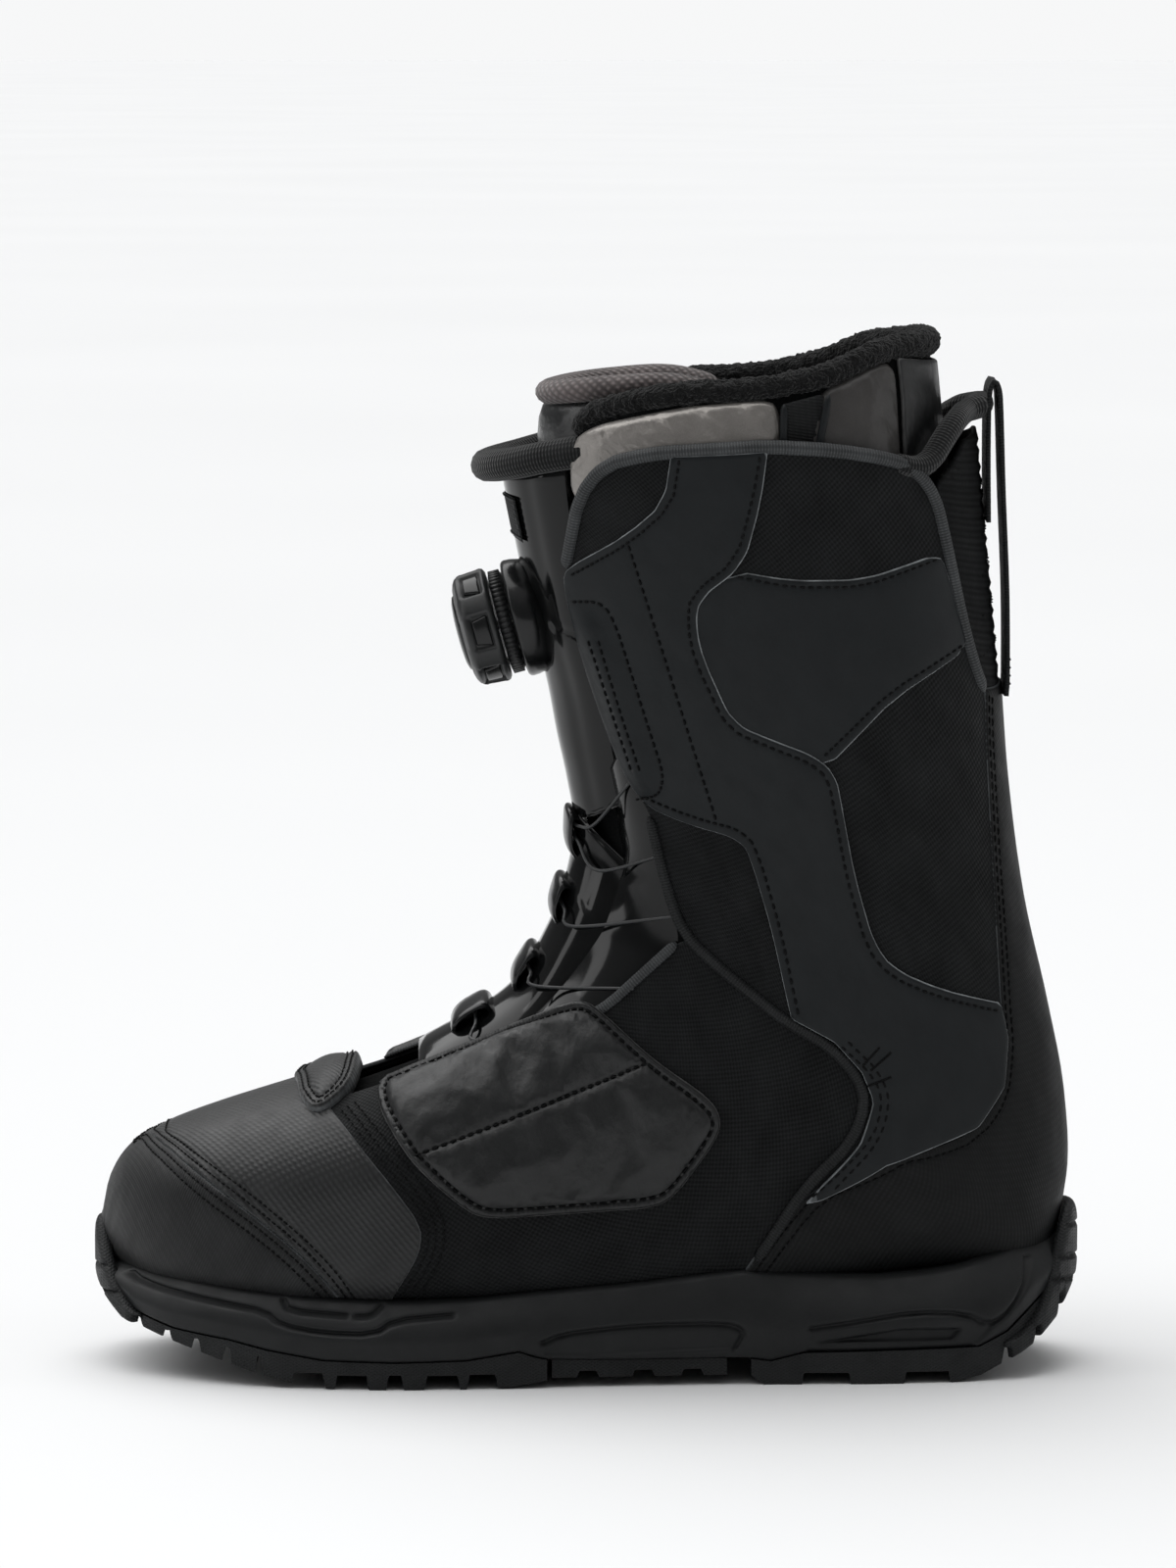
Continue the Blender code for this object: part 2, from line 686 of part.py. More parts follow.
def bottom_line(x):
    """Height of the form's underside at x."""
    order = np.argsort(DENSE[:133, 2])
    return float(np.interp(x, DENSE[:133, 2][order], DENSE[:133, 3][order]))


def foot_plate(name, low, high, inset, start, end, steps=22):
    """A plate along the foot, between two heights above the form's underside, inside the form's inset."""
    points, faces = [], []
    for i in range(steps + 1):
        t = 0.5 - 0.5 * math.cos(math.pi * i / steps)
        x = start + (end - start) * t
        base = bottom_line(x)
        edges = [surface_y(x, base + low, inset, side) for side in (-1, 1)]
        middle = (edges[0] + edges[1]) / 2
        nearest = min(x - start, end - x, 26.0) / 26.0
        half = (edges[1] - edges[0]) / 2 * math.sqrt(max(0.08, 1 - (1 - nearest) ** 2))
        for y, z in ((-half, low), (half, low), (half, high), (-half, high)):
            points.append(Vector((x, middle + y, base + z)) * MM)
    for i in range(steps):
        for k in range(4):
            a, b = i * 4 + k, i * 4 + (k + 1) % 4
            faces.append((a, b, b + 4, a + 4))
    faces += [(3, 2, 1, 0), tuple(steps * 4 + k for k in range(4))]
    return new_object(name, recalculate(mesh_of(name, points, faces)))


def bumper(name, outline):
    over_seat = tuple((x, z - 0.4) for x, z in MIDSOLE_BOTTOM) + ((160, 90), (-160, 90))
    bore = boolean(
        plan_prism(name + "_bore", GAP, 0, 62), "INTERSECT", side_prism(name + "_over_seat", over_seat)
    )
    wall = boolean(plan_prism(name, BUMPER_OUTSET, 2, 60), "INTERSECT", side_prism(name + "_side", outline))
    return boolean(wall, "DIFFERENCE", bore)


def tread(name, outline, bumper_outline, slots):
    plate = boolean(plan_prism(name, -0.4, -2, 45), "INTERSECT", side_prism(name + "_side", outline))
    grooves = []
    for n, (x, half, ceiling) in enumerate(slots):
        for side in (-1, 1):
            slot = box(f"{name}_slot_{n}_{side}", (-half, 3.5, -1.0), (half, 70, ceiling))
            slot.location = (x * MM, 0, 0)
            slot.rotation_euler = (0, 0, 0 if side > 0 else math.pi)
            grooves.append(slot)
    for groove in grooves:
        plate = boolean(plate, "DIFFERENCE", groove)
    wall = bumper(name + "_bumper", bumper_outline)
    return boolean(plate, "UNION", wall)


def make_sole(looks):
    outline = MIDSOLE_TOP + MIDSOLE_BOTTOM[::-1]
    midsole = boolean(plan_prism("midsole", 0.0, 0, 60), "INTERSECT", side_prism("midsole_side", outline))
    bed = form_solid("midsole_bed", (-GAP, -GAP, -GAP, -2 * GAP), last=14)
    midsole = boolean(midsole, "DIFFERENCE", bed)
    finish(midsole, looks["midsole_foam"])
    finish(tread("outsole_forefoot", FOREFOOT_TREAD, TOE_BUMPER, FOREFOOT_SLOTS), looks["rubber"])
    finish(tread("outsole_heel", HEEL_TREAD, HEEL_BUMPER, HEEL_SLOTS), looks["rubber"])
    shank = boolean(plan_prism("shank_pad", -1.5, 0, 20), "INTERSECT", side_prism("shank_side", SHANK_PAD))
    finish(shank, looks["rubber"])


# ---------------------------------------------------------------- the outer boot
def make_outer(looks):
    shell = form_shell("outer", (0, 0, 0, 0), (SHELL, SHELL, SHELL, SHELL))
    shell = boolean(shell, "DIFFERENCE", side_prism("throat", THROAT), side_prism("top_line", TOP_LINE))

    def copy_of(source, name):
        made = source.copy()
        made.data = source.data.copy()
        made.name = name
        bpy.data.collections["cutters"].objects.link(made)
        return made

    lower, upper = copy_of(shell, "outer_lower"), copy_of(shell, "outer_upper")
    band = boolean(shell, "DIFFERENCE", above_band("above"), below_band("below"))
    name_parts(band, {"ankle_flex_panel": (140, 0, 100)}, looks["ballistic_fabric"])
    lower = boolean(lower, "INTERSECT", below_band("below_spare", GAP))
    lower = boolean(
        lower,
        "DIFFERENCE",
        seam_knife("toe_knife", TOE_CAP_SEAM),
        seam_knife("vamp_knife", VAMP_SEAM),
        seam_knife("heel_knife", HEEL_SEAM),
        box("bottom_knife", (-80, -GAP, 5), (80, GAP, 45)),
    )
    name_parts(
        lower,
        {
            "toe_cap": (-148, 4, 45),
            "vamp": (-110, 2, 82),
            "quarter_lateral": (20, -44, 60),
            "quarter_medial": (20, 40, 60),
            "heel_counter": (146, 0, 60),
        },
        {
            "toe_cap": looks["toe_fabric"],
            "vamp": looks["toe_fabric"],
            "quarter_lateral": looks["ballistic_fabric"],
            "quarter_medial": looks["ballistic_fabric"],
            "heel_counter": looks["toe_fabric"],
        },
    )
    upper = boolean(upper, "INTERSECT", above_band("above_spare", GAP))
    heel_knife = seam_knife("heel_knife_high", HEEL_SEAM)
    gusset_knife = seam_knife("gusset_knife", GUSSET_EDGE)
    upper = boolean(upper, "DIFFERENCE", heel_knife, gusset_knife)
    name_parts(
        upper,
        {
            "cuff_lateral": (60, -50, 200),
            "cuff_medial": (60, 50, 200),
            "backstay": (140, 0, 130),
            "rear_gusset": (122, 0, 250),
        },
        {
            "cuff_lateral": looks["ballistic_fabric"],
            "cuff_medial": looks["ballistic_fabric"],
            "backstay": looks["toe_fabric"],
            "rear_gusset": looks["knit_padding"],
        },
    )


def overlay(name, outline, side, low, high, look):
    """A piece bonded on the outer boot, between low and high millimetres above its surface."""
    wall = form_shell(name, (-high, -high, -high, 0), (-low, -low, -low, 0), first=2)
    limits = (-90, -6) if side < 0 else (6, 90)
    made = boolean(wall, "INTERSECT", side_prism(name + "_outline", outline, *limits))
    return finish(made, look)


def make_overlays(looks):
    for side, word in ((-1, "lateral"), (1, "medial")):
        top = GAP + OVERLAY
        overlay(f"cuff_overlay_{word}", CUFF_OVERLAY, side, GAP, top, looks["synthetic_leather"])
        overlay(f"rear_overlay_{word}", REAR_OVERLAY, side, GAP, top, looks["synthetic_leather"])
        overlay(f"ankle_overlay_{word}", ANKLE_OVERLAY, side, GAP, top, looks["synthetic_leather"])
        overlay(f"instep_cover_{word}", INSTEP_COVER, side, GAP, 3.6, looks["soft_leather"])


def make_rear_trim(looks):
    line = ((107.3, 282.6), (109.5, 286.5), (111.8, 290.2), (114, 292.6), (116, 294.3))
    near = [(x, surface_y(x, z, 2.0), z) for x, z in line]
    far = [(x, surface_y(x, z, 2.0, 1), z) for x, z in line[::-1]]
    finish(tube("gusset_collar", near + [(117, 0, 295)] + far, 3.4), looks["knit_padding"])
    loop_line = (
        (129.0, 208), (129.2, 216), (128.8, 243), (127.4, 272), (126.5, 297), (125.9, 303), (124.7, 305.4),
        (123.5, 303), (123.1, 297), (123.3, 275), (123.8, 262),
    )
    finish(ribbon_prism("pull_loop", loop_line, 1.5, -12.5, 12.5), looks["webbing"])


# ---------------------------------------------------------------- the tongue
def make_tongue(looks):
    gloss = looks["gloss_plastic"]
    under = TONGUE_HINGE_Z - 0.6
    whole = tongue_strip("tongue_lower", 105, 178, 0.0, TONGUE, 44.0, rows=16, helper=True)
    base = whole.copy()
    base.data = whole.data.copy()
    base.name = "tongue_base"
    bpy.data.collections["cutters"].objects.link(base)
    ankle = whole.copy()
    ankle.data = whole.data.copy()
    ankle.name = "tongue_ankle"
    bpy.data.collections["cutters"].objects.link(ankle)
    finish(boolean(base, "INTERSECT", below_band("tongue_below", GAP)), gloss)
    finish(
        boolean(
            ankle,
            "INTERSECT",
            above_band("tongue_above", GAP),
            side_prism("tongue_under_hinge", ((-60, 90), (60, 90), (60, under), (-60, under))),
        ),
        gloss,
    )
    whole.name = "tongue_flex"
    finish(boolean(whole, "DIFFERENCE", above_band("tongue_above_2"), below_band("tongue_below_2")), gloss)
    slope = (
        (-60, TONGUE_HINGE_Z), (-4, TONGUE_HINGE_Z), (90, TONGUE_HINGE_Z + 94 * math.tan(math.radians(21))),
        (90, 400), (-60, 400),
    )
    upper = tongue_strip("tongue_shell", 168, TONGUE_TOP_Z, 0.0, TONGUE, 85.0, rows=14, helper=True)
    finish(boolean(upper, "INTERSECT", side_prism("tongue_over_hinge", slope)), gloss)
    inner = tongue_strip("liner_tongue", 168, 303, TONGUE + 0.5, 5.5, 80.0, rows=12, helper=True)
    finish(boolean(inner, "INTERSECT", side_prism("liner_tongue_over_hinge", slope)), looks["liner_knit"])
    row = row_at(279.5)
    outer, _ = tongue_section(row, -2.0, 0.0, 62.0, 13)
    finish(tube("tongue_collar", [p / MM for p in outer], 4.2), looks["knit_padding"])
    label = tongue_strip("tongue_label", 256, 269, -(GAP + 0.9), 0.9, 34.0, 7, 3)
    finish(label, looks["matt_plastic"])
    for n, z in enumerate(GUIDE_Z):
        guide = tongue_strip(f"tongue_guide_{n + 1}", z - 3.5, z + 3.5, -(GAP + 2.4), 2.4, 34.0, 7, 2)
        finish(guide, looks["matt_plastic"])


# ---------------------------------------------------------------- the liner
def liner_inset(extra=0.0, wall=0.0):
    """Insets of the liner's outside, extra millimetres further out, or of its inside with a wall."""

    def at(front_z):
        back = float(
            np.interp(
                front_z,
                (0, 104, 117, 136, 153, 168, 184, 240, 310, 340),
                (LINER_FLOOR, LINER_FLOOR, 7.6, 8.4, 9.3, 7.0, 4.6, 4.6, 15, 17),
            )
        )
        front = float(np.interp(front_z, (0, 110, 240, 300), (6.0, 6.2, 6.0, 10.0)))
        side = float(np.interp(front_z, (0, 240, 310), (4.2, 4.2, 8.5)))
        step = wall - extra
        return (front + step, back + step, side + step, 6.0 + step)

    return at


LINER_TOP = (
    (-60, 288), (-6, 288.5), (12, 293), (30, 296), (53, 297), (74, 301), (89, 307), (99, 310), (150, 311),
    (150, 420), (-60, 420),
)


def make_liner(looks):
    shell = form_shell("liner", liner_inset(), liner_inset(wall=LINER), steps=1, sides=20)
    above_hinge = ((-80, TONGUE_HINGE_Z - 0.6), (90, TONGUE_HINGE_Z - 0.6), (90, 420), (-80, 420))
    lane = boolean(
        tongue_lane("lane", 120, 330, 0.9), "INTERSECT", side_prism("lane_over_hinge", above_hinge)
    )
    shell = boolean(shell, "DIFFERENCE", side_prism("liner_top", LINER_TOP), lane)
    foot, cuff = shell.copy(), shell.copy()
    foot.data, cuff.data = shell.data.copy(), shell.data.copy()
    foot.name, cuff.name = "liner_foot", "liner_cuff"
    for piece in (foot, cuff):
        bpy.data.collections["cutters"].objects.link(piece)
    foam = looks["liner_foam"]
    shell.name = "liner_ankle"
    finish(boolean(shell, "DIFFERENCE", above_band("liner_above"), below_band("liner_below")), foam)
    finish(boolean(foot, "INTERSECT", below_band("liner_below_2", GAP)), foam)
    cuff = boolean(cuff, "INTERSECT", above_band("liner_above_2", GAP))
    name_parts(cuff, {"liner_cuff": (60, -44, 240)}, foam)
    line = ((1, 295), (12, 298), (30, 301), (53, 302), (74, 306), (89, 312), (96, 314.5))
    path = [(x, surface_y(x, z, 11.5), z) for x, z in line]
    path += [(100.5, -16, 316), (102, 0, 316.5), (100.5, 16, 316)]
    path += [(x, surface_y(x, z, 11.5, 1), z) for x, z in line[::-1]]
    finish(tube("liner_collar", path, 4.6), looks["fleece"])
    strap = form_shell("liner_strap", liner_inset(1.6), liner_inset(0.5), first=12, steps=1, sides=20)
    outline = ((60, 288), (74, 288), (78, 298.5), (63, 296))
    strap = boolean(strap, "INTERSECT", side_prism("strap_outline", outline, -90, -6))
    finish(strap, looks["webbing"])
    finish(foot_plate("lasting_board", SHELL + 1.6, SHELL + 2.8, SHELL + 0.6, -138, 100), looks["board"])
    floor = LINER_FLOOR + LINER
    finish(foot_plate("footbed", floor + 2.2, floor + 5.7, floor + 1.2, -118, 88), looks["liner_foam"])


# ---------------------------------------------------------------- the dial and its cable
def make_dial(looks):
    axis = bpy.data.objects.new("dial_axis", None)
    bpy.data.collections["snowboard_boot"].objects.link(axis)
    axis.location = Vector((DIAL_BASE_X, 0, DIAL_BASE_Z)) * MM
    axis.rotation_euler = (0, math.radians(-90 - DIAL_TILT), 0)
    plastic, gloss, steel = looks["matt_plastic"], looks["gloss_plastic"], looks["steel"]

    def placed(obj, look):
        obj.parent = axis
        return finish(obj, look)

    base = turned(
        "dial_base", ((0, -14), (18.4, -14), (18.4, 2.2), (17.6, 3.0), (2.4, 3.0), (2.4, 2.0), (0, 2.0))
    )
    base.parent = axis
    room = tongue_bay("dial_seat", 190, 290, GAP)
    base = boolean(base, "DIFFERENCE", room)
    parts = loose_parts(base)
    front = max(parts, key=lambda part: -min(p.x for p in part[0]))
    bpy.data.objects.remove(base)
    finish(new_object("dial_base", mesh_of("dial_base", *front)), plastic)
    placed(
        turned(
            "dial_housing",
            ((2.4, 3.3), (15.7, 3.3), (15.7, 7.4), (12.6, 7.4), (12.6, 4.4), (2.4, 4.4)),
        ),
        plastic,
    )
    placed(
        turned(
            "dial_spool",
            (
                (2.4, 4.7), (11.8, 4.7), (11.8, 5.3), (9.6, 5.5), (9.6, 6.5), (11.8, 6.7), (11.8, 7.3),
                (2.4, 7.3),
            ),
        ),
        gloss,
    )
    placed(
        turned(
            "dial_screw",
            ((0, 3.4), (2.0, 3.4), (2.0, 16.4), (4.2, 16.4), (4.2, 18.2), (0, 18.2)),
            24,
        ),
        steel,
    )
    placed(
        turned("dial_pawl_disc", ((2.4, 8.0), (11.4, 8.0), (11.4, 11.2), (2.4, 11.2)), 30),
        gloss,
    )
    knob = turned(
        "dial_knob",
        (
            (2.4, 11.5), (11.8, 11.5), (11.8, 8.0), (16.4, 8.0), (KNOB_RADIUS, 9.4), (KNOB_RADIUS, 16.0),
            (15.6, 18.2), (12.2, 19.2), (12.2, 18.4), (4.6, 18.4), (4.6, 16.0), (2.4, 16.0),
        ),
        36,
    )
    for n in range(KNOB_RIBS):
        recess = box(f"knob_recess_{n}", (KNOB_RADIUS - 1.7, -5.2, 10.2), (KNOB_RADIUS + 4, 5.2, 15.2))
        recess.rotation_euler = (0, 0, 2 * math.pi * (n + 0.5) / KNOB_RIBS)
        knob = boolean(knob, "DIFFERENCE", recess)
    placed(knob, plastic)
    placed(
        turned("dial_cap", ((0, 18.7), (11.9, 18.7), (11.9, 19.4), (8.0, 20.2), (0, 20.6))), gloss
    )


def make_cable(looks):
    def across(front_z, lift):
        outer, _ = tongue_section(row_at(front_z), -lift, 0.0, 40.0, 9)
        return [tuple(p / MM) for p in outer]

    over = GAP + 2.4 + 0.8
    top = across(GUIDE_Z[0], over)
    finish(tube("cable_upper", top, 0.55, resolution=2), looks["lace_cable"])
    middle = across(GUIDE_Z[1], over)
    finish(tube("cable_ankle", middle, 0.55, resolution=2), looks["lace_cable"])
    low = across(GUIDE_Z[3], over)
    finish(tube("cable_instep", low, 0.55, resolution=2), looks["lace_cable"])


# ---------------------------------------------------------------- assembly
def main():
    for obj in list(bpy.data.objects):
        bpy.data.objects.remove(obj)
    for name in ("snowboard_boot", "cutters"):
        bpy.context.scene.collection.children.link(bpy.data.collections.new(name))
    looks = make_materials()
    make_sole(looks)
    make_outer(looks)
    make_overlays(looks)
    make_rear_trim(looks)
    make_tongue(looks)
    make_liner(looks)
    make_dial(looks)
    make_cable(looks)


main()
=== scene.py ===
import math

import bpy
import numpy as np
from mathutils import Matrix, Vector, geometry


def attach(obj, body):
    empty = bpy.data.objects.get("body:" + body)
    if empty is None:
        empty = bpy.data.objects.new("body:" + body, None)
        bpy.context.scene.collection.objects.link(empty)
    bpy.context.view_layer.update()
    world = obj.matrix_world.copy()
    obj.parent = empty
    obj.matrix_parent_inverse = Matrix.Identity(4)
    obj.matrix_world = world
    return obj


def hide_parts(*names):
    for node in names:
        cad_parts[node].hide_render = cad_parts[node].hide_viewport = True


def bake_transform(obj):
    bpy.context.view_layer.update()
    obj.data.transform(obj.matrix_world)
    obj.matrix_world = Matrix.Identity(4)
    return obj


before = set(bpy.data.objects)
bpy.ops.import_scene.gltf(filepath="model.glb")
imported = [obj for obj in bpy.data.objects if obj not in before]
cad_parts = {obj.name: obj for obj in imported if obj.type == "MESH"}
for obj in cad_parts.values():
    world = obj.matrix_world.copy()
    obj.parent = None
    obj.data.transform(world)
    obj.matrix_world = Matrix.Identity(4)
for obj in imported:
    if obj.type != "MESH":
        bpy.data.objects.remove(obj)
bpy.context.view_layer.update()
scene = bpy.context.scene
MM = 0.001

# ---------------------------------------------------------------- camera
AIM = Vector((0, 0, 0.18))
DISTANCE = 2.2
RISE = math.radians(6.2)
VIEW_HEIGHT = 0.4856  # height of the view at AIM, in metres
lens = bpy.data.cameras.new("camera")
lens.sensor_width = 36
lens.lens = lens.sensor_width * DISTANCE / VIEW_HEIGHT
camera = bpy.data.objects.new("camera", lens)
scene.collection.objects.link(camera)
camera.location = AIM + DISTANCE * Vector((0, -math.cos(RISE), math.sin(RISE)))
camera.rotation_euler = (math.pi / 2 - RISE, 0, 0)
scene.camera = camera

# ---------------------------------------------------------------- the boot's form
# front x, front z, back x, back z, half width, centre y, roundness at the front, roundness at the back
STATIONS = (
    (-151.6, 43.5, -151.4, 40.5, 1.2, 4.5, 2.0, 2.0),
    (-150.5, 46, -150.2, 38, 6, 4.5, 2.0, 2.0),
    (-148, 57, -147.5, 32, 13, 4.5, 2.0, 2.4),
    (-142, 66, -141, 29, 23.5, 4, 2.0, 3.0),
    (-131, 73, -130, 26, 34, 3, 2.1, 4.2),
    (-115, 79, -113, 24, 42.5, 2, 2.2, 5.0),
    (-93, 86, -92, 22.5, 48.5, 1, 2.2, 5.4),
    (-68, 94, -65, 22, 51, 0, 2.1, 5.5),
    (-44, 104, -32, 22.5, 49.5, -1.5, 2.1, 5.5),
    (-24, 117, 15, 24, 44.5, -2.5, 2.1, 5.0),
    (-12, 136, 62, 26, 42, -2, 2.1, 4.4),
    (-6, 153, 104, 28, 41.5, -1, 2.1, 3.2),
    (-4, 168, 138, 32, 41, 0, 2.2, 2.8),
    (-6, 182, 147.5, 56, 41.5, 0, 2.2, 2.4),
    (-9, 196, 147, 84, 42.5, 0, 2.3, 2.2),
    (-12, 212, 141.5, 113, 45, 0, 2.3, 2.2),
    (-17, 232, 134, 146, 48.5, 0, 2.3, 2.2),
    (-21, 252, 129, 182, 51, 0, 2.3, 2.2),
    (-25, 272, 126, 220, 52.5, 0, 2.3, 2.2),
    (-29, 294, 122, 262, 53.5, 0, 2.3, 2.2),
    (-33, 318, 118, 306, 54, 0, 2.3, 2.2),
    (-36, 340, 115, 332, 54, 0, 2.3, 2.2),
)
STEPS = 16  # rows between two stations
ACROSS = 192  # places from the front centre to the back centre


def catmull(rows, steps, closed=False):
    rows = np.array(rows, float)
    if closed:
        padded, count = np.vstack([rows[-1], rows, rows[0], rows[1]]), len(rows)
    else:
        padded = np.vstack([2 * rows[0] - rows[1], rows, 2 * rows[-1] - rows[-2]])
        count = len(rows) - 1
    made = []
    for i in range(count):
        a, b, c, d = padded[i : i + 4]
        for t in np.arange(steps) / steps:
            made.append(
                b + (c - a) * t / 2 + (a - 2.5 * b + 2 * c - d / 2) * t**2
                + (1.5 * b - a / 2 - 1.5 * c + d / 2) * t**3
            )
    if not closed:
        made.append(rows[-1])
    return np.array(made)


def form_tables():
    angles = np.linspace(0, math.pi, 721)
    front = angles < math.pi / 2
    even = np.linspace(0, 1, ACROSS + 1)
    places, shares, girths = [], [], []
    for row in ROWS:
        power = np.where(front, row[6], row[7])
        reach = np.abs(np.cos(angles)) ** (2 / power) * np.where(front, -1, 1)
        across = row[4] * np.abs(np.sin(angles)) ** (2 / power)
        share = (1 + reach) / 2
        x, z = row[0] + (row[2] - row[0]) * share, row[1] + (row[3] - row[1]) * share
        step = np.sqrt(np.diff(x) ** 2 + np.diff(z) ** 2 + np.diff(across) ** 2)
        run = np.concatenate([[0], np.cumsum(step)])
        girths.append(run[-1])
        run /= run[-1]
        places.append(np.stack([np.interp(even, run, v) for v in (x, across, z)], 1))
        shares.append(np.interp(even, run, share))
    return np.array(places), np.array(shares), np.array(girths)


ROWS = catmull(STATIONS, STEPS)
PLACES, SHARES, GIRTHS = form_tables()
LEVELS = np.arange(len(ROWS)) / STEPS


def surface(s, w):
    """Points of the form in mm. s counts stations up from the toe; w is 0 at the front centre,
    -1..0 on the outer side and 0..1 on the inner side, and meets at the back centre."""
    s, w = np.broadcast_arrays(np.asarray(s, float), np.asarray(w, float))
    w = (w + 1) % 2 - 1
    i = np.clip(s * STEPS, 0, len(ROWS) - 1.0001)
    j = np.clip(np.abs(w) * ACROSS, 0, ACROSS - 1e-6)
    i0, j0 = i.astype(int), j.astype(int)
    a, b = (i - i0)[..., None], (j - j0)[..., None]
    p = (PLACES[i0, j0] * (1 - a) + PLACES[i0 + 1, j0] * a) * (1 - b)
    p = p + (PLACES[i0, j0 + 1] * (1 - a) + PLACES[i0 + 1, j0 + 1] * a) * b
    centre = ROWS[i0, 5] * (1 - a[..., 0]) + ROWS[i0 + 1, 5] * a[..., 0]
    return np.stack([p[..., 0], centre + np.where(w < 0, -1, 1) * p[..., 1], p[..., 2]], -1)


def unit(v):
    return v / np.maximum(np.linalg.norm(v, axis=-1, keepdims=True), 1e-9)


def left_of(t):
    """Flat directions turned a quarter to the left."""
    return np.stack([-t[:, 1], t[:, 0]], 1)


def round_trip(loop):
    """Directions along a closed line, from each point's neighbours."""
    return unit(np.roll(loop, -1, 0) - np.roll(loop, 1, 0))


def lengths(line):
    """The length of a line up to each of its points."""
    return np.concatenate([[0], np.cumsum(np.linalg.norm(np.diff(line, axis=0), axis=1))])


def net(low, high, rows, left, right, cols):
    """Two grids of values, one running along the rows and one along the columns."""
    return np.meshgrid(np.linspace(low, high, rows), np.linspace(left, right, cols), indexing="ij")


def normals(s, w):
    s, w = np.asarray(s, float), np.asarray(w, float)
    up = surface(s + 0.05, w) - surface(s - 0.05, w)
    round_ = surface(s, w + 0.008) - surface(s, w - 0.008)
    return unit(np.cross(up, round_))


def lifted(sw, lift):
    s, w = np.asarray(sw)[..., 0], np.asarray(sw)[..., 1]
    return surface(s, w) + np.asarray(lift, float)[..., None] * normals(s, w)


RUN = lengths(surface(LEVELS, -0.5))


def flat(sw, centre=0.0):
    """(s, w) laid out flat, in mm, about a centre line."""
    sw = np.asarray(sw, float)
    w = (sw[..., 1] - centre + 1) % 2 - 1
    return np.stack([np.interp(sw[..., 0], LEVELS, RUN), w * np.interp(sw[..., 0], LEVELS, GIRTHS)], -1)


def unflat(uv, centre=0.0):
    s = np.interp(uv[..., 0], RUN, LEVELS)
    return np.stack([s, centre + uv[..., 1] / np.interp(s, LEVELS, GIRTHS)], -1)


def onto(points, side=-1):
    """(s, w) of points (x, z) of the side view."""
    chord = ROWS[:, 2:4] - ROWS[:, 0:2]
    even = np.linspace(0, 1, ACROSS + 1)
    made = []
    for x, z in points:
        miss = chord[:, 0] * (z - ROWS[:, 1]) - chord[:, 1] * (x - ROWS[:, 0])
        low = int(np.clip((miss > 0).sum() - 1, 0, len(ROWS) - 2))
        a, b = miss[low], miss[low + 1]
        t = min(1.0, max(0.0, a / (a - b))) if a != b else 0.0
        row = ROWS[low] * (1 - t) + ROWS[low + 1] * t
        line = row[2:4] - row[:2]
        share = float(np.dot(np.array((x, z)) - row[:2], line) / np.dot(line, line))
        w0, w1 = np.interp(share, SHARES[low], even), np.interp(share, SHARES[low + 1], even)
        made.append(((low + t) / STEPS, side * (w0 * (1 - t) + w1 * t)))
    return np.array(made)


# ---------------------------------------------------------------- lines
def soften(points, times=1, closed=False):
    """Corners cut off, a quarter of each side at a time, and no more than 4 mm."""
    points = np.array(points, float)
    for _ in range(times):
        ends = np.roll(points, -1, 0) if closed else points[1:]
        starts = points if closed else points[:-1]
        size = np.linalg.norm(ends - starts, axis=1, keepdims=True)
        cut = np.minimum(size * 0.25, 4) / np.maximum(size, 1e-6)
        new = np.stack([starts + (ends - starts) * cut, ends + (starts - ends) * cut], 1)
        new = new.reshape(-1, points.shape[1])
        points = new if closed else np.vstack([points[:1], new[1:-1], points[-1:]])
    return points


def resample(points, step, closed=False):
    points = np.array(points, float)
    if closed:
        points = np.vstack([points, points[:1]])
    run = lengths(points)
    count = max(3, int(round(run[-1] / step)))
    at = np.linspace(0, run[-1], count + 1)
    made = np.stack([np.interp(at, run, points[:, k]) for k in range(points.shape[1])], 1)
    return made[:-1] if closed else made


def seam(points, side=-1, rounds=1, closed=False):
    """A side-view line as (s, w)."""
    return onto(resample(soften(points, rounds, closed), 2.5, closed), side)


def parallel(line, gap):
    """A flat line moved sideways: positive to the left of its direction."""
    return line + left_of(unit(np.gradient(line, axis=0))) * gap


def inward_of(border):
    """Directions from a closed flat line to its inside, and its area, negative if it runs clockwise."""
    area = (border[:, 0] * np.roll(border[:, 1], -1) - border[:, 1] * np.roll(border[:, 0], -1)).sum()
    return left_of(round_trip(border)) * np.sign(area), area


def away(points, line, closed=False):
    """Distance of flat points from a flat line."""
    if closed:
        line = np.vstack([line, line[:1]])
    best = np.full(len(points), 1e9)
    a, d = line[:-1], np.diff(line, axis=0)
    size = np.maximum((d**2).sum(1), 1e-9)
    for k in range(0, len(points), 400):
        p = points[k : k + 400, None, :] - a[None]
        t = np.clip((p * d).sum(-1) / size, 0, 1)
        best[k : k + 400] = np.sqrt(((p - t[..., None] * d) ** 2).sum(-1)).min(1)
    return best


def within(points, loop):
    inside = np.zeros(len(points), bool)
    for (x0, y0), (x1, y1) in zip(loop, np.roll(loop, -1, 0)):
        if y0 != y1:
            crosses = (points[:, 1] < y0) != (points[:, 1] < y1)
            inside ^= crosses & (points[:, 0] < x0 + (points[:, 1] - y0) * (x1 - x0) / (y1 - y0))
    return inside


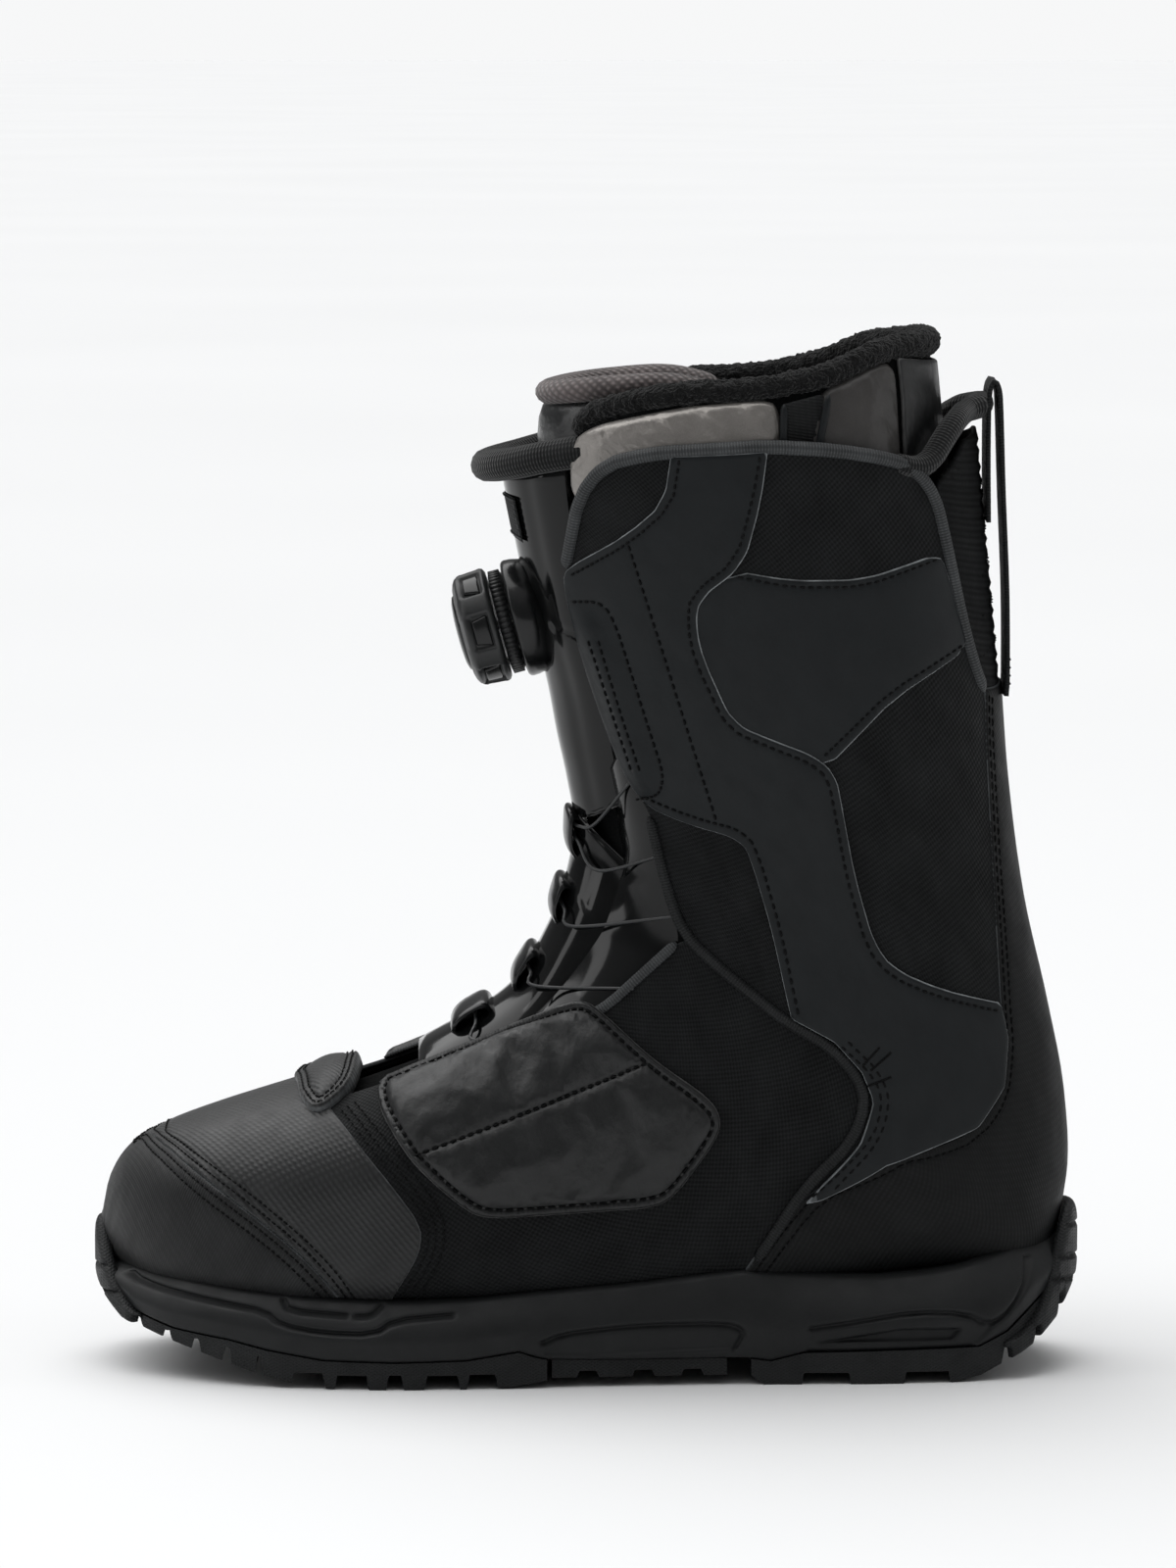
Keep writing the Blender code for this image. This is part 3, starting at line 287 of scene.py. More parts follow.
def piece(name, points, faces, look, slot, body, smooth=True, replaces=(), **extras):
    """A mesh in mm as a named piece on a body. "ankle" and "hinge" pieces get no body and are baked in place."""
    mesh = bpy.data.meshes.new(name)
    mesh.from_pydata((np.asarray(points, float) * MM).tolist(), [], faces)
    for key, values in extras.items():
        kind = "FLOAT_VECTOR" if key == "flat" else "FLOAT"
        made = mesh.attributes.new(key, kind, "POINT")
        made.data.foreach_set("vector" if key == "flat" else "value", np.asarray(values, np.float32).ravel())
    mesh.materials.append(LOOKS[look])
    if smooth:
        mesh.shade_smooth()
    obj = bpy.data.objects.new(name, mesh)
    scene.collection.objects.link(obj)
    return settle(obj, body, replaces)


def settle(obj, body, replaces=()):
    if body == "ankle":
        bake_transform(obj)
    elif body == "hinge":
        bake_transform(obj)
    else:
        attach(obj, body)
    if replaces:
        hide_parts(*replaces)
    return obj


def billow(top, faces, pinned, pressure, grow, cap):
    """The top of a pad as cloth, held where pinned, blown up a little so that it swells and creases."""
    mesh = bpy.data.meshes.new("billow")
    mesh.from_pydata((top * MM).tolist(), [], faces)
    obj = bpy.data.objects.new("billow", mesh)
    scene.collection.objects.link(obj)
    group = obj.vertex_groups.new(name="held")
    group.add([int(k) for k in np.nonzero(pinned)[0]], 1.0, "REPLACE")
    cloth = obj.modifiers.new("cloth", "CLOTH")
    settings = cloth.settings
    settings.quality = 6
    settings.mass = 0.2
    settings.vertex_group_mass = "held"
    settings.use_pressure = True
    settings.uniform_pressure_force = pressure
    settings.shrink_min = -grow
    settings.bending_stiffness = 0.1
    settings.tension_stiffness = settings.compression_stiffness = settings.shear_stiffness = 10
    settings.effector_weights.gravity = 0
    cloth.collision_settings.use_collision = False
    for number in range(1, 21):
        scene.frame_set(number)
    done = obj.evaluated_get(bpy.context.evaluated_depsgraph_get()).data
    moved = np.array([v.co for v in done.vertices]) / MM
    scene.frame_set(1)
    bpy.data.objects.remove(obj)
    move = moved - top
    size = np.linalg.norm(move, axis=1, keepdims=True)
    return top + move * np.minimum(1, cap / np.maximum(size, 1e-6))


SEWN_REACH = 1.3  # mm, how far finer points are set beside a sewn groove


def panel(
    name, outline, top, look, slot, body="ankle", thick=1.0, edge=0.8, spacing=3.2, centre=0.0,
    grooves=(), depth=0.3, puff=0.0, ramp=6.0, under=0.5, cloth=None, rounds=0, replaces=(), relief=None,
):
    """A piece of sheet material laid on the form: outline in (s, w), rounded edges, sewn grooves.
    top is the height of its face over the form, or a function of s and w."""
    border = flat(outline, centre)
    if rounds:
        border = soften(border, rounds, True)
    border = resample(border, spacing * 0.55, True)
    inward, area = inward_of(border)
    if area < 0:
        border, inward = border[::-1], inward[::-1]
    lines = [resample(flat(g, centre), 1.6) for g in grooves]
    points = [border]
    for reach in (0.14 * edge, 0.5 * edge, edge, edge + 0.45 * spacing):
        ring = border + inward * reach
        points.append(ring[away(ring, border, True) > 0.9 * reach])
    for line in lines:
        for gap in (-SEWN_REACH, -0.5, 0, 0.5, SEWN_REACH):
            points.append(parallel(line, gap))
    low, high = border.min(0), border.max(0)
    rows = np.arange(low[0], high[0], spacing * 0.87)
    columns = [np.arange(low[1] + (n % 2) * spacing / 2, high[1], spacing) for n in range(len(rows))]
    grid = np.vstack([np.stack([np.full_like(c, r), c], 1) for r, c in zip(rows, columns)])
    grid = grid[within(grid, border)]
    keep = away(grid, border, True) > edge + 0.75 * spacing
    for line in lines:
        keep &= away(grid, line) > SEWN_REACH + 0.4 * spacing
    extra = np.vstack(points[1:])
    extra = extra[within(extra, border)]
    extra = extra[away(extra, border, True) > 0.1 * edge]
    cloud = np.vstack([border, extra, grid[keep]])
    loop = [(k, (k + 1) % len(border)) for k in range(len(border))]
    found, _, faces, *_ = geometry.delaunay_2d_cdt([Vector(p) for p in cloud], loop, [], 1, 1e-3)
    uv = np.array([tuple(p) for p in found])
    gap = away(uv, border, True)
    near = np.minimum(gap / edge, 1)
    sw = unflat(uv, centre)
    face = top(sw[:, 0], sw[:, 1]) if callable(top) else np.full(len(uv), float(top))
    lift = face - thick + thick * np.sqrt(np.clip(1 - (1 - near) ** 2, 0, 1))
    sewn = np.full(len(uv), 99.0)
    for line in lines:
        sewn = np.minimum(sewn, away(uv, line))
    if puff:
        lift = lift + puff * (1 - np.exp(-np.minimum(gap, sewn) / ramp)) * near
    lift = lift - depth * np.exp(-((sewn / 0.7) ** 2))
    if relief is not None:
        lift = lift + relief(uv, sw, gap)
    above = lifted(sw, lift)
    if cloth:
        above = billow(above, faces, (gap < 1.0) | (sewn < 0.6), **cloth)
    below = lifted(sw, face - thick - under)
    count = len(uv)
    edges = {}
    for f in faces:
        for a, b in zip(f, f[1:] + f[:1]):
            edges[(a, b)] = edges.get((a, b), 0) + 1
    walls = [(b, a, a + count, b + count) for a, b in edges if (b, a) not in edges]
    everything = [tuple(f) for f in faces] + [tuple(k + count for k in f[::-1]) for f in faces] + walls
    flat3 = np.hstack([uv, np.zeros((count, 1))])
    # rim is 1 at the edge and falls inwards; the lighter edge colour it gives is partly wear, partly a painted
    # highlight; the underside and walls take the full edge colour
    rim = np.clip(1 - gap / RIM_REACH, 0, 1)
    return piece(
        name, np.vstack([above, below]), everything, look, slot, body, replaces=replaces,
        flat=np.vstack([flat3, flat3]), rim=np.concatenate([rim, np.ones(count)]),
    )


def stitches(name, paths, lift, body="ankle", pitch=3.3, size=2.3, radius=0.34, centre=0.0):
    """Rows of thread on the form, each stitch a small rounded bar that dips at its ends."""
    starts, stops = [], []
    for path in paths:
        line = resample(flat(path, centre), pitch)
        t = unit(np.gradient(line, axis=0))
        starts.append(line - t * size / 2)
        stops.append(line + t * size / 2)
    a, b = np.vstack(starts), np.vstack(stops)
    shares = np.array((0.0, 0.16, 0.5, 0.84, 1.0))
    sink = np.array((-0.32, 0.0, 0.12, 0.0, -0.32))
    thick = np.array((0.4, 0.95, 1.0, 0.95, 0.4)) * radius
    mid = a[:, None] * (1 - shares)[None, :, None] + b[:, None] * shares[None, :, None]
    sw = unflat(mid, centre)
    base = lift(sw[..., 0], sw[..., 1]) if callable(lift) else lift
    p = lifted(sw, base + sink[None, :])
    n = normals(sw[..., 0], sw[..., 1])
    return bars(name, p, n, thick, "thread", "webbing", body)


def bars(name, p, n, thick, look, slot, body, sides=6):
    """Short round bars along rows of points p, shape (bars, points, 3), with normals n."""
    t = unit(np.gradient(p, axis=1))
    across = unit(np.cross(t, n))
    n = np.cross(across, t)
    turn = 2 * math.pi * np.arange(sides) / sides
    ring = (
        across[:, :, None] * np.cos(turn)[None, None, :, None] + n[:, :, None] * np.sin(turn)[None, None, :, None]
    )
    points = p[:, :, None] + ring * np.asarray(thick)[None, :, None, None]
    count, long = p.shape[:2]
    faces = []
    for i in range(count):
        base = i * long * sides
        for j in range(long - 1):
            for k in range(sides):
                c, d = base + j * sides + k, base + j * sides + (k + 1) % sides
                faces.append((c, c + sides, d + sides, d))
        faces.append(tuple(base + k for k in range(sides)))
        faces.append(tuple(base + (long - 1) * sides + k for k in range(sides))[::-1])
    return piece(name, points.reshape(-1, 3), faces, look, slot, body)


def sweep(name, path, normal, profile, look, slot, body, scale=None, **more):
    """profile, a loop of (across, out) in mm, carried along path."""
    path, normal = np.asarray(path, float), np.asarray(normal, float)
    t = unit(np.gradient(path, axis=0))
    across = unit(np.cross(t, normal))
    normal = np.cross(across, t)
    profile = np.asarray(profile, float)
    scale = np.ones(len(path)) if scale is None else np.asarray(scale, float)
    points = (
        path[:, None]
        + across[:, None] * (profile[None, :, 0] * scale[:, None])[..., None]
        + normal[:, None] * (profile[None, :, 1] * scale[:, None])[..., None]
    )
    rows, sides = len(path), len(profile)
    run, span = lengths(path), lengths(profile)
    flat3 = np.stack([np.repeat(run, sides), np.tile(span, rows), np.zeros(rows * sides)], 1)
    faces = []
    for i in range(rows - 1):
        for k in range(sides):
            a, b = i * sides + k, i * sides + (k + 1) % sides
            faces.append((a, b, b + sides, a + sides))
    faces.append(tuple(range(sides))[::-1])
    faces.append(tuple((rows - 1) * sides + k for k in range(sides)))
    return piece(name, points.reshape(-1, 3), faces, look, slot, body, flat=flat3, **more)


def dome(width, height):
    """A half-round profile on a flat base 0.5 mm deep."""
    turn = np.linspace(0, math.pi, 9)
    arc = np.stack([np.cos(turn) * width / 2, np.sin(turn) * height], 1)
    return np.vstack([arc, [(-width / 2, -0.5), (width / 2, -0.5)]])[::-1]


def tape(name, path, width, height, lift, look, slot, body="ankle"):
    """A binding tape or piping along a line on the form."""
    sw = unflat(resample(flat(path), 1.6))
    scale = np.minimum(1, 0.35 + 0.65 * np.minimum(np.arange(len(sw)), np.arange(len(sw))[::-1]) / 1.5)
    return sweep(
        name, lifted(sw, np.full(len(sw), float(lift))), normals(sw[:, 0], sw[:, 1]), dome(width, height),
        look, slot, body, scale=scale,
    )


def round_profile(width, height, count=14):
    turn = 2 * math.pi * np.arange(count) / count
    return np.stack([np.cos(turn) * width, -np.sin(turn) * height], 1)


def roll(name, path, width, height, look, slot, body, outward, step=2.5, **more):
    """A stuffed roll along points in mm, its ends drawn in."""
    path = resample(catmull(path, 8), step)
    n = unit(path - np.array(outward))
    ends = np.minimum(np.arange(len(path)), np.arange(len(path))[::-1]) * step / max(width, height)
    scale = np.sqrt(np.clip(1 - (1 - np.minimum(ends, 1)) ** 2, 0.03, 1))
    return sweep(name, path, n, round_profile(width, height), look, slot, body, scale=scale, **more)


def shell(name, outer, inner, look, slot, body, closed=False, replaces=(), smooth=True):
    """A closed sheet between two grids of points; closed joins the last column to the first."""
    rows, cols = outer.shape[:2]
    count = rows * cols
    faces = []
    span = cols if closed else cols - 1
    for i in range(rows - 1):
        for j in range(span):
            a, b = i * cols + j, i * cols + (j + 1) % cols
            c, d = a + cols, b + cols
            faces.append((a, b, d, c))
            faces.append((a + count, c + count, d + count, b + count))
    last = (rows - 1) * cols
    for a in range(span):
        b = (a + 1) % cols
        faces.append((a, a + count, b + count, b))
        faces.append((last + a, last + b, last + b + count, last + a + count))
    if not closed:
        for a in range(0, last, cols):
            faces.append((a, a + cols, a + cols + count, a + count))
            a += cols - 1
            faces.append((a, a + count, a + cols + count, a + cols))
    u, v = lengths(outer[:, cols // 2]), lengths(outer[rows // 2])
    uv = np.stack(np.broadcast_arrays(u[:, None], v[None] - v.mean(), 0.0), -1).reshape(-1, 3)
    points = np.vstack([outer.reshape(-1, 3), inner.reshape(-1, 3)])
    return piece(name, points, faces, look, slot, body, smooth, replaces=replaces, flat=np.vstack([uv, uv]))


# ---------------------------------------------------------------- materials
RIM_REACH = 3.0  # mm from a panel's edge over which its "rim" attribute falls from 1 to 0
RIM_START = 0.86  # the rim value at which the lighter edge begins: partly wear on the cut edge, partly a painted highlight along it
CLOUD = 14.0  # mm, the size of the slow changes in tone and roughness


class Recipe:
    """One material's nodes. Lengths in its patterns are in mm."""

    def __init__(self, name, place="flat", turn=0.0, gloss=0.5, **fixed):
        self.material = bpy.data.materials.new(name)
        self.material.use_nodes = True
        self.tree = self.material.node_tree
        self.shader = self.tree.nodes["Principled BSDF"]
        self.shader.inputs["Specular IOR Level"].default_value = gloss
        for key, value in fixed.items():
            self.shader.inputs[key.replace("_", " ")].default_value = value
        if place == "flat":
            self.where = self.add("ShaderNodeAttribute", attribute_name="flat").outputs["Vector"]
        else:
            coordinates = self.add("ShaderNodeTexCoord").outputs["Object"]
            scaled = self.add("ShaderNodeVectorMath", operation="SCALE")
            self.put(scaled.inputs[0], coordinates)
            scaled.inputs["Scale"].default_value = 1 / MM
            self.where = scaled.outputs[0]
        if turn:
            rotated = self.add("ShaderNodeVectorRotate", rotation_type="Z_AXIS")
            self.put(rotated.inputs["Vector"], self.where)
            rotated.inputs["Angle"].default_value = math.radians(turn)
            self.where = rotated.outputs[0]
        parts = self.add("ShaderNodeSeparateXYZ")
        self.put(parts.inputs[0], self.where)
        self.x, self.y, self.z = parts.outputs

    def add(self, kind, **settings):
        made = self.tree.nodes.new(kind)
        for key, value in settings.items():
            setattr(made, key, value)
        return made

    def put(self, socket, value):
        if isinstance(value, bpy.types.NodeSocket):
            self.tree.links.new(value, socket)
        else:
            socket.default_value = value

    def math(self, operation, a, b=0.0, clamp=False):
        made = self.add("ShaderNodeMath", operation=operation, use_clamp=clamp)
        self.put(made.inputs[0], a)
        self.put(made.inputs[1], b)
        return made.outputs[0]

    def wave(self, along, pitch):
        return self.math("SINE", self.math("MULTIPLY", along, 2 * math.pi / pitch))

    def half(self, value):
        return self.math("ADD", self.math("MULTIPLY", value, 0.5), 0.5)

    def noise(self, size, detail=3.0, spread=1.0):
        made = self.add("ShaderNodeTexNoise")
        self.put(made.inputs["Vector"], self.where)
        made.inputs["Scale"].default_value = 1 / size
        made.inputs["Detail"].default_value = detail
        centred = self.math("SUBTRACT", made.outputs["Fac"], 0.5)
        return self.math("ADD", self.math("MULTIPLY", centred, 2 * spread), 0.5, True)

    def cells(self, size):
        made = self.add("ShaderNodeTexVoronoi", feature="SMOOTH_F1")
        self.put(made.inputs["Vector"], self.where)
        made.inputs["Scale"].default_value = 1 / size
        return made.outputs["Distance"]

    def tint(self, factor, a, b):
        made = self.add("ShaderNodeMix", data_type="RGBA")
        self.put(made.inputs["Factor"], factor)
        self.put(made.inputs["A"], (*a, 1) if isinstance(a, tuple) else a)
        self.put(made.inputs["B"], (*b, 1) if isinstance(b, tuple) else b)
        return made.outputs["Result"]

    def finish(self, height, dark, light, rough, bump, rim=None, cloudy=0.35, second=None):
        """height is the fine pattern; rough is (smoothest, roughest); bump is its depth in mm."""
        cloud = self.noise(CLOUD, 3.0, 1.2)
        tone = self.math("ADD", self.math("MULTIPLY", height, 1 - cloudy), self.math("MULTIPLY", cloud, cloudy))
        colour = self.tint(tone, grey(dark), grey(light))
        # a lighter colour along panel edges, partly wear on the cut edge and partly a painted highlight where light
        # catches the edge
        if rim:
            edge = self.add("ShaderNodeAttribute", attribute_name="rim").outputs["Fac"]
            near = self.math("MULTIPLY", self.math("SUBTRACT", edge, RIM_START), 10.0)
            near = self.math("MINIMUM", self.math("MAXIMUM", near, 0.0), 1.0)
            patchy = self.math("ADD", self.math("MULTIPLY", self.noise(5.0, 2.0, 1.5), 0.6), 0.5)
            worn_and_highlit_edge = self.math("MULTIPLY", near, patchy)
            colour = self.tint(worn_and_highlit_edge, colour, grey(rim))
        self.put(self.shader.inputs["Base Color"], colour)
        spread = self.math("MULTIPLY", self.noise(CLOUD * 0.6, 4.0, 1.1), rough[1] - rough[0])
        self.put(self.shader.inputs["Roughness"], self.math("ADD", spread, rough[0]))
        normal = None
        for value, deep in ((second[0], second[1]) if second else (None, 0), (height, bump)):
            if value is None:
                continue
            made = self.add("ShaderNodeBump")
            made.inputs["Distance"].default_value = deep * MM
            self.put(made.inputs["Height"], value)
            if normal is not None:
                self.put(made.inputs["Normal"], normal)
            normal = made.outputs["Normal"]
        self.put(self.shader.inputs["Normal"], normal)
        return self.material


def grey(value, blue=1.12):
    """A faintly blue grey of a brightness; a colour given as a tuple stays as it is."""
    return value if isinstance(value, tuple) else (value, value * (1 + (blue - 1) * 0.6), value * blue)


# dots and twill give their panels a lighter edge colour, partly wear and partly a painted highlight
def dots(name, pitch, dark, light, rough, bump, turn=0.0, **fixed):
    r = Recipe(name, "flat", turn, **fixed)
    h = r.half(r.math("MULTIPLY", r.wave(r.x, pitch), r.wave(r.y, pitch)))
    return r.finish(h, dark, light, rough, bump, rim=0.03)


def twill(name, pitch, dark, light, rough, bump, turn=45.0, **fixed):
    r = Recipe(name, "flat", turn, **fixed)
    rib = r.half(r.wave(r.x, pitch))
    slant = r.math("ADD", r.y, r.math("MULTIPLY", r.x, 0.5))
    broken = r.math("ADD", r.math("MULTIPLY", r.half(r.wave(slant, pitch * 1.7)), 0.55), 0.45)
    return r.finish(r.math("MULTIPLY", rib, broken), dark, light, rough, bump, rim=0.09)


def grain(name, size, dark, light, rough, bump, place="flat", crease=0.0, rim=None, **fixed):
    r = Recipe(name, place, 0.0, **fixed)
    h = r.math("ADD", r.math("MULTIPLY", r.cells(size), 0.7), r.math("MULTIPLY", r.noise(size * 0.5, 2.0), 0.4), True)
    second = (r.noise(size * 9, 2.0, 1.3), crease) if crease else None
    return r.finish(h, dark, light, rough, bump, rim=rim, second=second, cloudy=0.45)


def ribs(name, pitch, dark, light, rough, bump, turn=0.0, cross=None, place="flat", **fixed):
    r = Recipe(name, place, turn, **fixed)
    h = r.half(r.wave(r.x, pitch))
    if cross:
        h = r.math("MULTIPLY", h, r.math("ADD", r.math("MULTIPLY", r.half(r.wave(r.y, cross)), 0.6), 0.4))
    return r.finish(h, dark, light, rough, bump)


def fuzz(name, size, dark, light, rough, bump, place="solid", **fixed):
    r = Recipe(name, place, 0.0, **fixed)
    pile, tufts = r.noise(size, 5.0, 1.5), r.noise(size * 4, 2.0, 1.2)
    return r.finish(pile, dark, light, rough, bump, second=(tufts, bump * 1.5))


def tread_look(name):
    r = Recipe(name, "solid", gloss=0.25)
    a = r.half(r.wave(r.math("ADD", r.x, r.math("MULTIPLY", r.z, 1.7)), 1.7))
    b = r.half(r.wave(r.math("SUBTRACT", r.x, r.math("MULTIPLY", r.z, 1.7)), 1.7))
    return r.finish(r.math("MAXIMUM", a, b), 0.004, 0.015, (0.45, 0.7), 0.14)


# name, kind, size of its pattern in mm, darkest, lightest, (smoothest, roughest), depth in mm, and the rest
RECIPES = (
    ("toe_fabric", twill, 1.05, 0.003, 0.015, (0.42, 0.6), 0.10, dict(turn=38, gloss=0.24, Sheen_Weight=0.06)),
    ("vamp_fabric", twill, 1.45, 0.003, 0.017, (0.38, 0.55), 0.16, dict(turn=-32, gloss=0.36, Sheen_Weight=0.1)),
    # the toe's twill again at half the brightness: painted shade on the heel
    ("heel_fabric", twill, 1.05, 0.002, 0.010, (0.5, 0.65), 0.08, dict(turn=38, gloss=0.16)),
    ("ballistic_fabric", dots, 1.7, 0.0008, 0.015, (0.5, 0.7), 0.2, dict(gloss=0.1)),
    # rim colours: lighter edges, partly wear on the cut edge and partly a painted highlight
    ("synthetic_leather", grain, 0.7, grey(0.0045, 1.5), grey(0.0085, 1.4), (0.40, 0.55), 0.03,
     dict(rim=(0.30, 0.32, 0.33), gloss=0.2)),
    ("soft_leather", grain, 0.9, 0.0035, 0.0105, (0.36, 0.5), 0.06,
     dict(crease=0.25, rim=(0.10, 0.10, 0.10), gloss=0.4)),
    ("patent", grain, 6.0, 0.002, 0.005, (0.07, 0.13), 0.01, dict(place="solid", gloss=0.28)),
    ("gloss_plastic", grain, 1.2, 0.004, 0.008, (0.16, 0.26), 0.01, dict(place="solid", gloss=0.35)),
    ("matt_plastic", grain, 0.6, 0.006, 0.012, (0.34, 0.48), 0.02, dict(place="solid", gloss=0.35)),
    ("rubber", tread_look, {}),
    ("midsole_rubber", grain, 0.5, 0.007, 0.014, (0.42, 0.6), 0.03, dict(place="solid", gloss=0.24)),
    ("knit", ribs, 1.1, 0.0025, 0.011, (0.8, 0.95), 0.25, dict(cross=1.6, Sheen_Weight=0.2, gloss=0.15)),
    ("gusset_fabric", ribs, 1.5, 0.002, 0.009, (0.6, 0.8), 0.2, dict(cross=0.9, gloss=0.1)),
    ("fleece", fuzz, 0.9, grey(0.0012, 1.0), grey(0.012, 1.05), (0.9, 1.0), 0.5, dict(Sheen_Weight=0.12, gloss=0.08)),
    ("liner_foam", grain, 0.35, (0.17, 0.16, 0.15), (0.30, 0.282, 0.264), (0.3, 0.38), 0.03,
     dict(crease=0.12, gloss=0.5, Metallic=0.6)),
    # the same foam as liner_foam, made darker: painted shade for the rear liner panels
    ("liner_foam_dark", grain, 0.35, (0.024, 0.0225, 0.0215), (0.046, 0.043, 0.041), (0.4, 0.5), 0.03,
     dict(crease=0.12, gloss=0.4)),
    ("liner_lower", grain, 0.5, 0.006, 0.014, (0.25, 0.36), 0.03, dict(crease=0.15, gloss=0.5)),
    ("liner_knit", ribs, 1.9, (0.035, 0.03, 0.0295), (0.20, 0.168, 0.164), (0.8, 0.95), 0.4,
     dict(turn=45, cross=1.9, Sheen_Weight=0.2)),
    # lining: a black lining made darker still; the extra darkness is painted shade where it shows between the tongue
    # and the cuff
    ("lining", fuzz, 0.7, 0.001, 0.005, (0.85, 0.98), 0.15, dict(gloss=0.05)),
    ("webbing", ribs, 0.9, 0.003, 0.018, (0.6, 0.8), 0.2, dict(cross=2.2, gloss=0.2)),
    ("binding", ribs, 0.9, 0.006, 0.075, (0.5, 0.7), 0.16, dict(cross=1.4, gloss=0.3)),
    ("low_binding", ribs, 0.9, 0.003, 0.022, (0.5, 0.7), 0.16, dict(cross=1.4, gloss=0.2)),
    ("thread", ribs, 0.5, 0.001, 0.004, (0.5, 0.65), 0.05, dict(turn=30, place="solid", gloss=0.12)),
    ("pale_thread", ribs, 0.5, 0.02, 0.06, (0.5, 0.65), 0.05, dict(turn=30, place="solid")),
    ("steel", grain, 1.0, (0.25, 0.25, 0.26), (0.36, 0.36, 0.37), (0.3, 0.42), 0.01,
     dict(place="solid", Metallic=1.0)),
    ("lace_cable", ribs, 0.6, 0.006, 0.03, (0.35, 0.5), 0.04, dict(turn=40, place="solid")),
    ("board", fuzz, 1.0, (0.2, 0.18, 0.13), (0.32, 0.29, 0.22), (0.85, 0.95), 0.05, {}),
    ("rubber_grip", grain, 0.5, 0.008, 0.014, (0.35, 0.5), 0.02, dict(place="solid", gloss=0.45)),
)
LOOKS = {name: make(name, *rest, **more) for name, make, *rest, more in RECIPES}


# ---------------------------------------------------------------- floor and light
def stage_and_lights():
    floor_look = Recipe("floor", "solid", gloss=0.2)
    shade = floor_look.tint(floor_look.noise(900.0, 1.0), (0.83, 0.835, 0.84), (0.85, 0.855, 0.86))
    floor_look.put(floor_look.shader.inputs["Base Color"], shade)
    floor_look.shader.inputs["Roughness"].default_value = 0.75
    mesh = bpy.data.meshes.new("floor")
    turn = 2 * math.pi * np.arange(64) / 64
    mesh.from_pydata([(60 * math.cos(a), 60 * math.sin(a), 0) for a in turn], [], [tuple(range(64))])
    mesh.materials.append(floor_look.material)
    floor = bpy.data.objects.new("floor", mesh)
    scene.collection.objects.link(floor)
    world = bpy.data.worlds.new("studio")
    scene.world = world
    world.use_nodes = True
    nodes, links = world.node_tree.nodes, world.node_tree.links
    place = nodes.new("ShaderNodeTexCoord")
    parts = nodes.new("ShaderNodeSeparateXYZ")
    ramp = nodes.new("ShaderNodeValToRGB")
    links.new(place.outputs["Generated"], parts.inputs[0])
    links.new(parts.outputs["Z"], ramp.inputs["Fac"])
    stops = ramp.color_ramp.elements
    for position, level in SKY[2:]:
        stops.new(position)
    for stop, (position, level) in zip(stops, sorted(SKY)):
        stop.position, stop.color = position, (level, level * 1.004, level * 1.008, 1)
    back = nodes["Background"]
    links.new(ramp.outputs["Color"], back.inputs["Color"])
    sun = bpy.data.lights.new("soft_top", "SUN")
    sun.energy, sun.angle = TOP_LIGHT, math.radians(75)
    lamp = bpy.data.objects.new("soft_top", sun)
    scene.collection.objects.link(lamp)
    lamp.rotation_euler = (math.radians(-14), math.radians(-16), 0)
    for name, power, size, at, aim in LIGHTS:
        area = bpy.data.lights.new(name, "AREA")
        area.shape = "RECTANGLE"
        area.size, area.size_y = size
        area.energy = power
        obj = bpy.data.objects.new(name, area)
        scene.collection.objects.link(obj)
        obj.location = at
        obj.rotation_euler = (Vector(aim) - Vector(at)).to_track_quat("-Z", "Y").to_euler()


SKY = ((0.0, 0.93), (0.012, 0.93), (0.05, 0.13), (0.45, 0.2), (0.9, 0.6))  # height in the sky, brightness
TOP_LIGHT = 2.45
LIGHTS = (
    ("toe_side", 5, (0.5, 1.4), (-1.9, -0.4, 1.1), (0, 0, 0.12)),
    ("heel_side", 3, (0.4, 1.4), (2.0, -0.2, 0.9), (0, 0, 0.12)),
)
stage_and_lights()
scene.view_settings.view_transform = "Standard"


# ---------------------------------------------------------------- seams, in the side view (x, z)
TOE_SEAM = ((-141, 70.5), (-131, 70), (-120, 64), (-105, 54.5), (-90, 43), (-81, 34), (-75, 26), (-74, 23.5))
VAMP_SEAM = ((-81, 85), (-75, 80), (-67, 71), (-60, 63), (-50.5, 50), (-51, 42.5), (-55, 35), (-60, 27), (-61, 23.5))
HEEL_SEAM = (
    (45, 29.5), (49.5, 37), (57, 48), (66, 58.5), (90, 69), (118, 80), (125.5, 91), (127, 105), (126, 115),
    (123, 163), (121, 201), (121, 212),
)
LOW_EDGE = (
    (19, 174), (24, 153), (29, 138), (41, 127), (61, 111), (74, 104), (82, 95), (85, 87), (81, 75), (66, 60),
    (51, 37),
)
FRONT_EDGE = ((19, 174), (12, 187), (6, 203), (0, 221), (-6, 244), (-6.5, 252), (-2.5, 272), (5, 282))
TOP_EDGE = ((5, 282), (19, 285.5), (30, 286.3), (54, 287.8), (74, 286.5), (90, 283.8), (98.5, 280.5))
GUSSET_EDGE = ((98.5, 280.5), (105, 272), (108.5, 257), (114, 232), (118, 218), (121, 211))
THROAT = (
    (-84, 88), (-80, 85), (-64, 90.5), (-45, 98), (-20, 109), (-2, 112), (5, 115), (27, 135), (24, 153), (19, 174),
    (12, 187), (6, 203), (0, 221), (-6.2, 244.6), (-6.5, 251.7), (-2, 273), (8, 282), (12, 300),
)
SIDES = ((-1, "lateral"), (1, "medial"))


def mirrored(line):
    return np.asarray(line) * (1, -1)


def round_front(line, *rest):
    """A line of the inner side carried over the front centre: its mirror backwards, then itself."""
    return np.vstack([mirrored(line)[::-1], line, *rest])


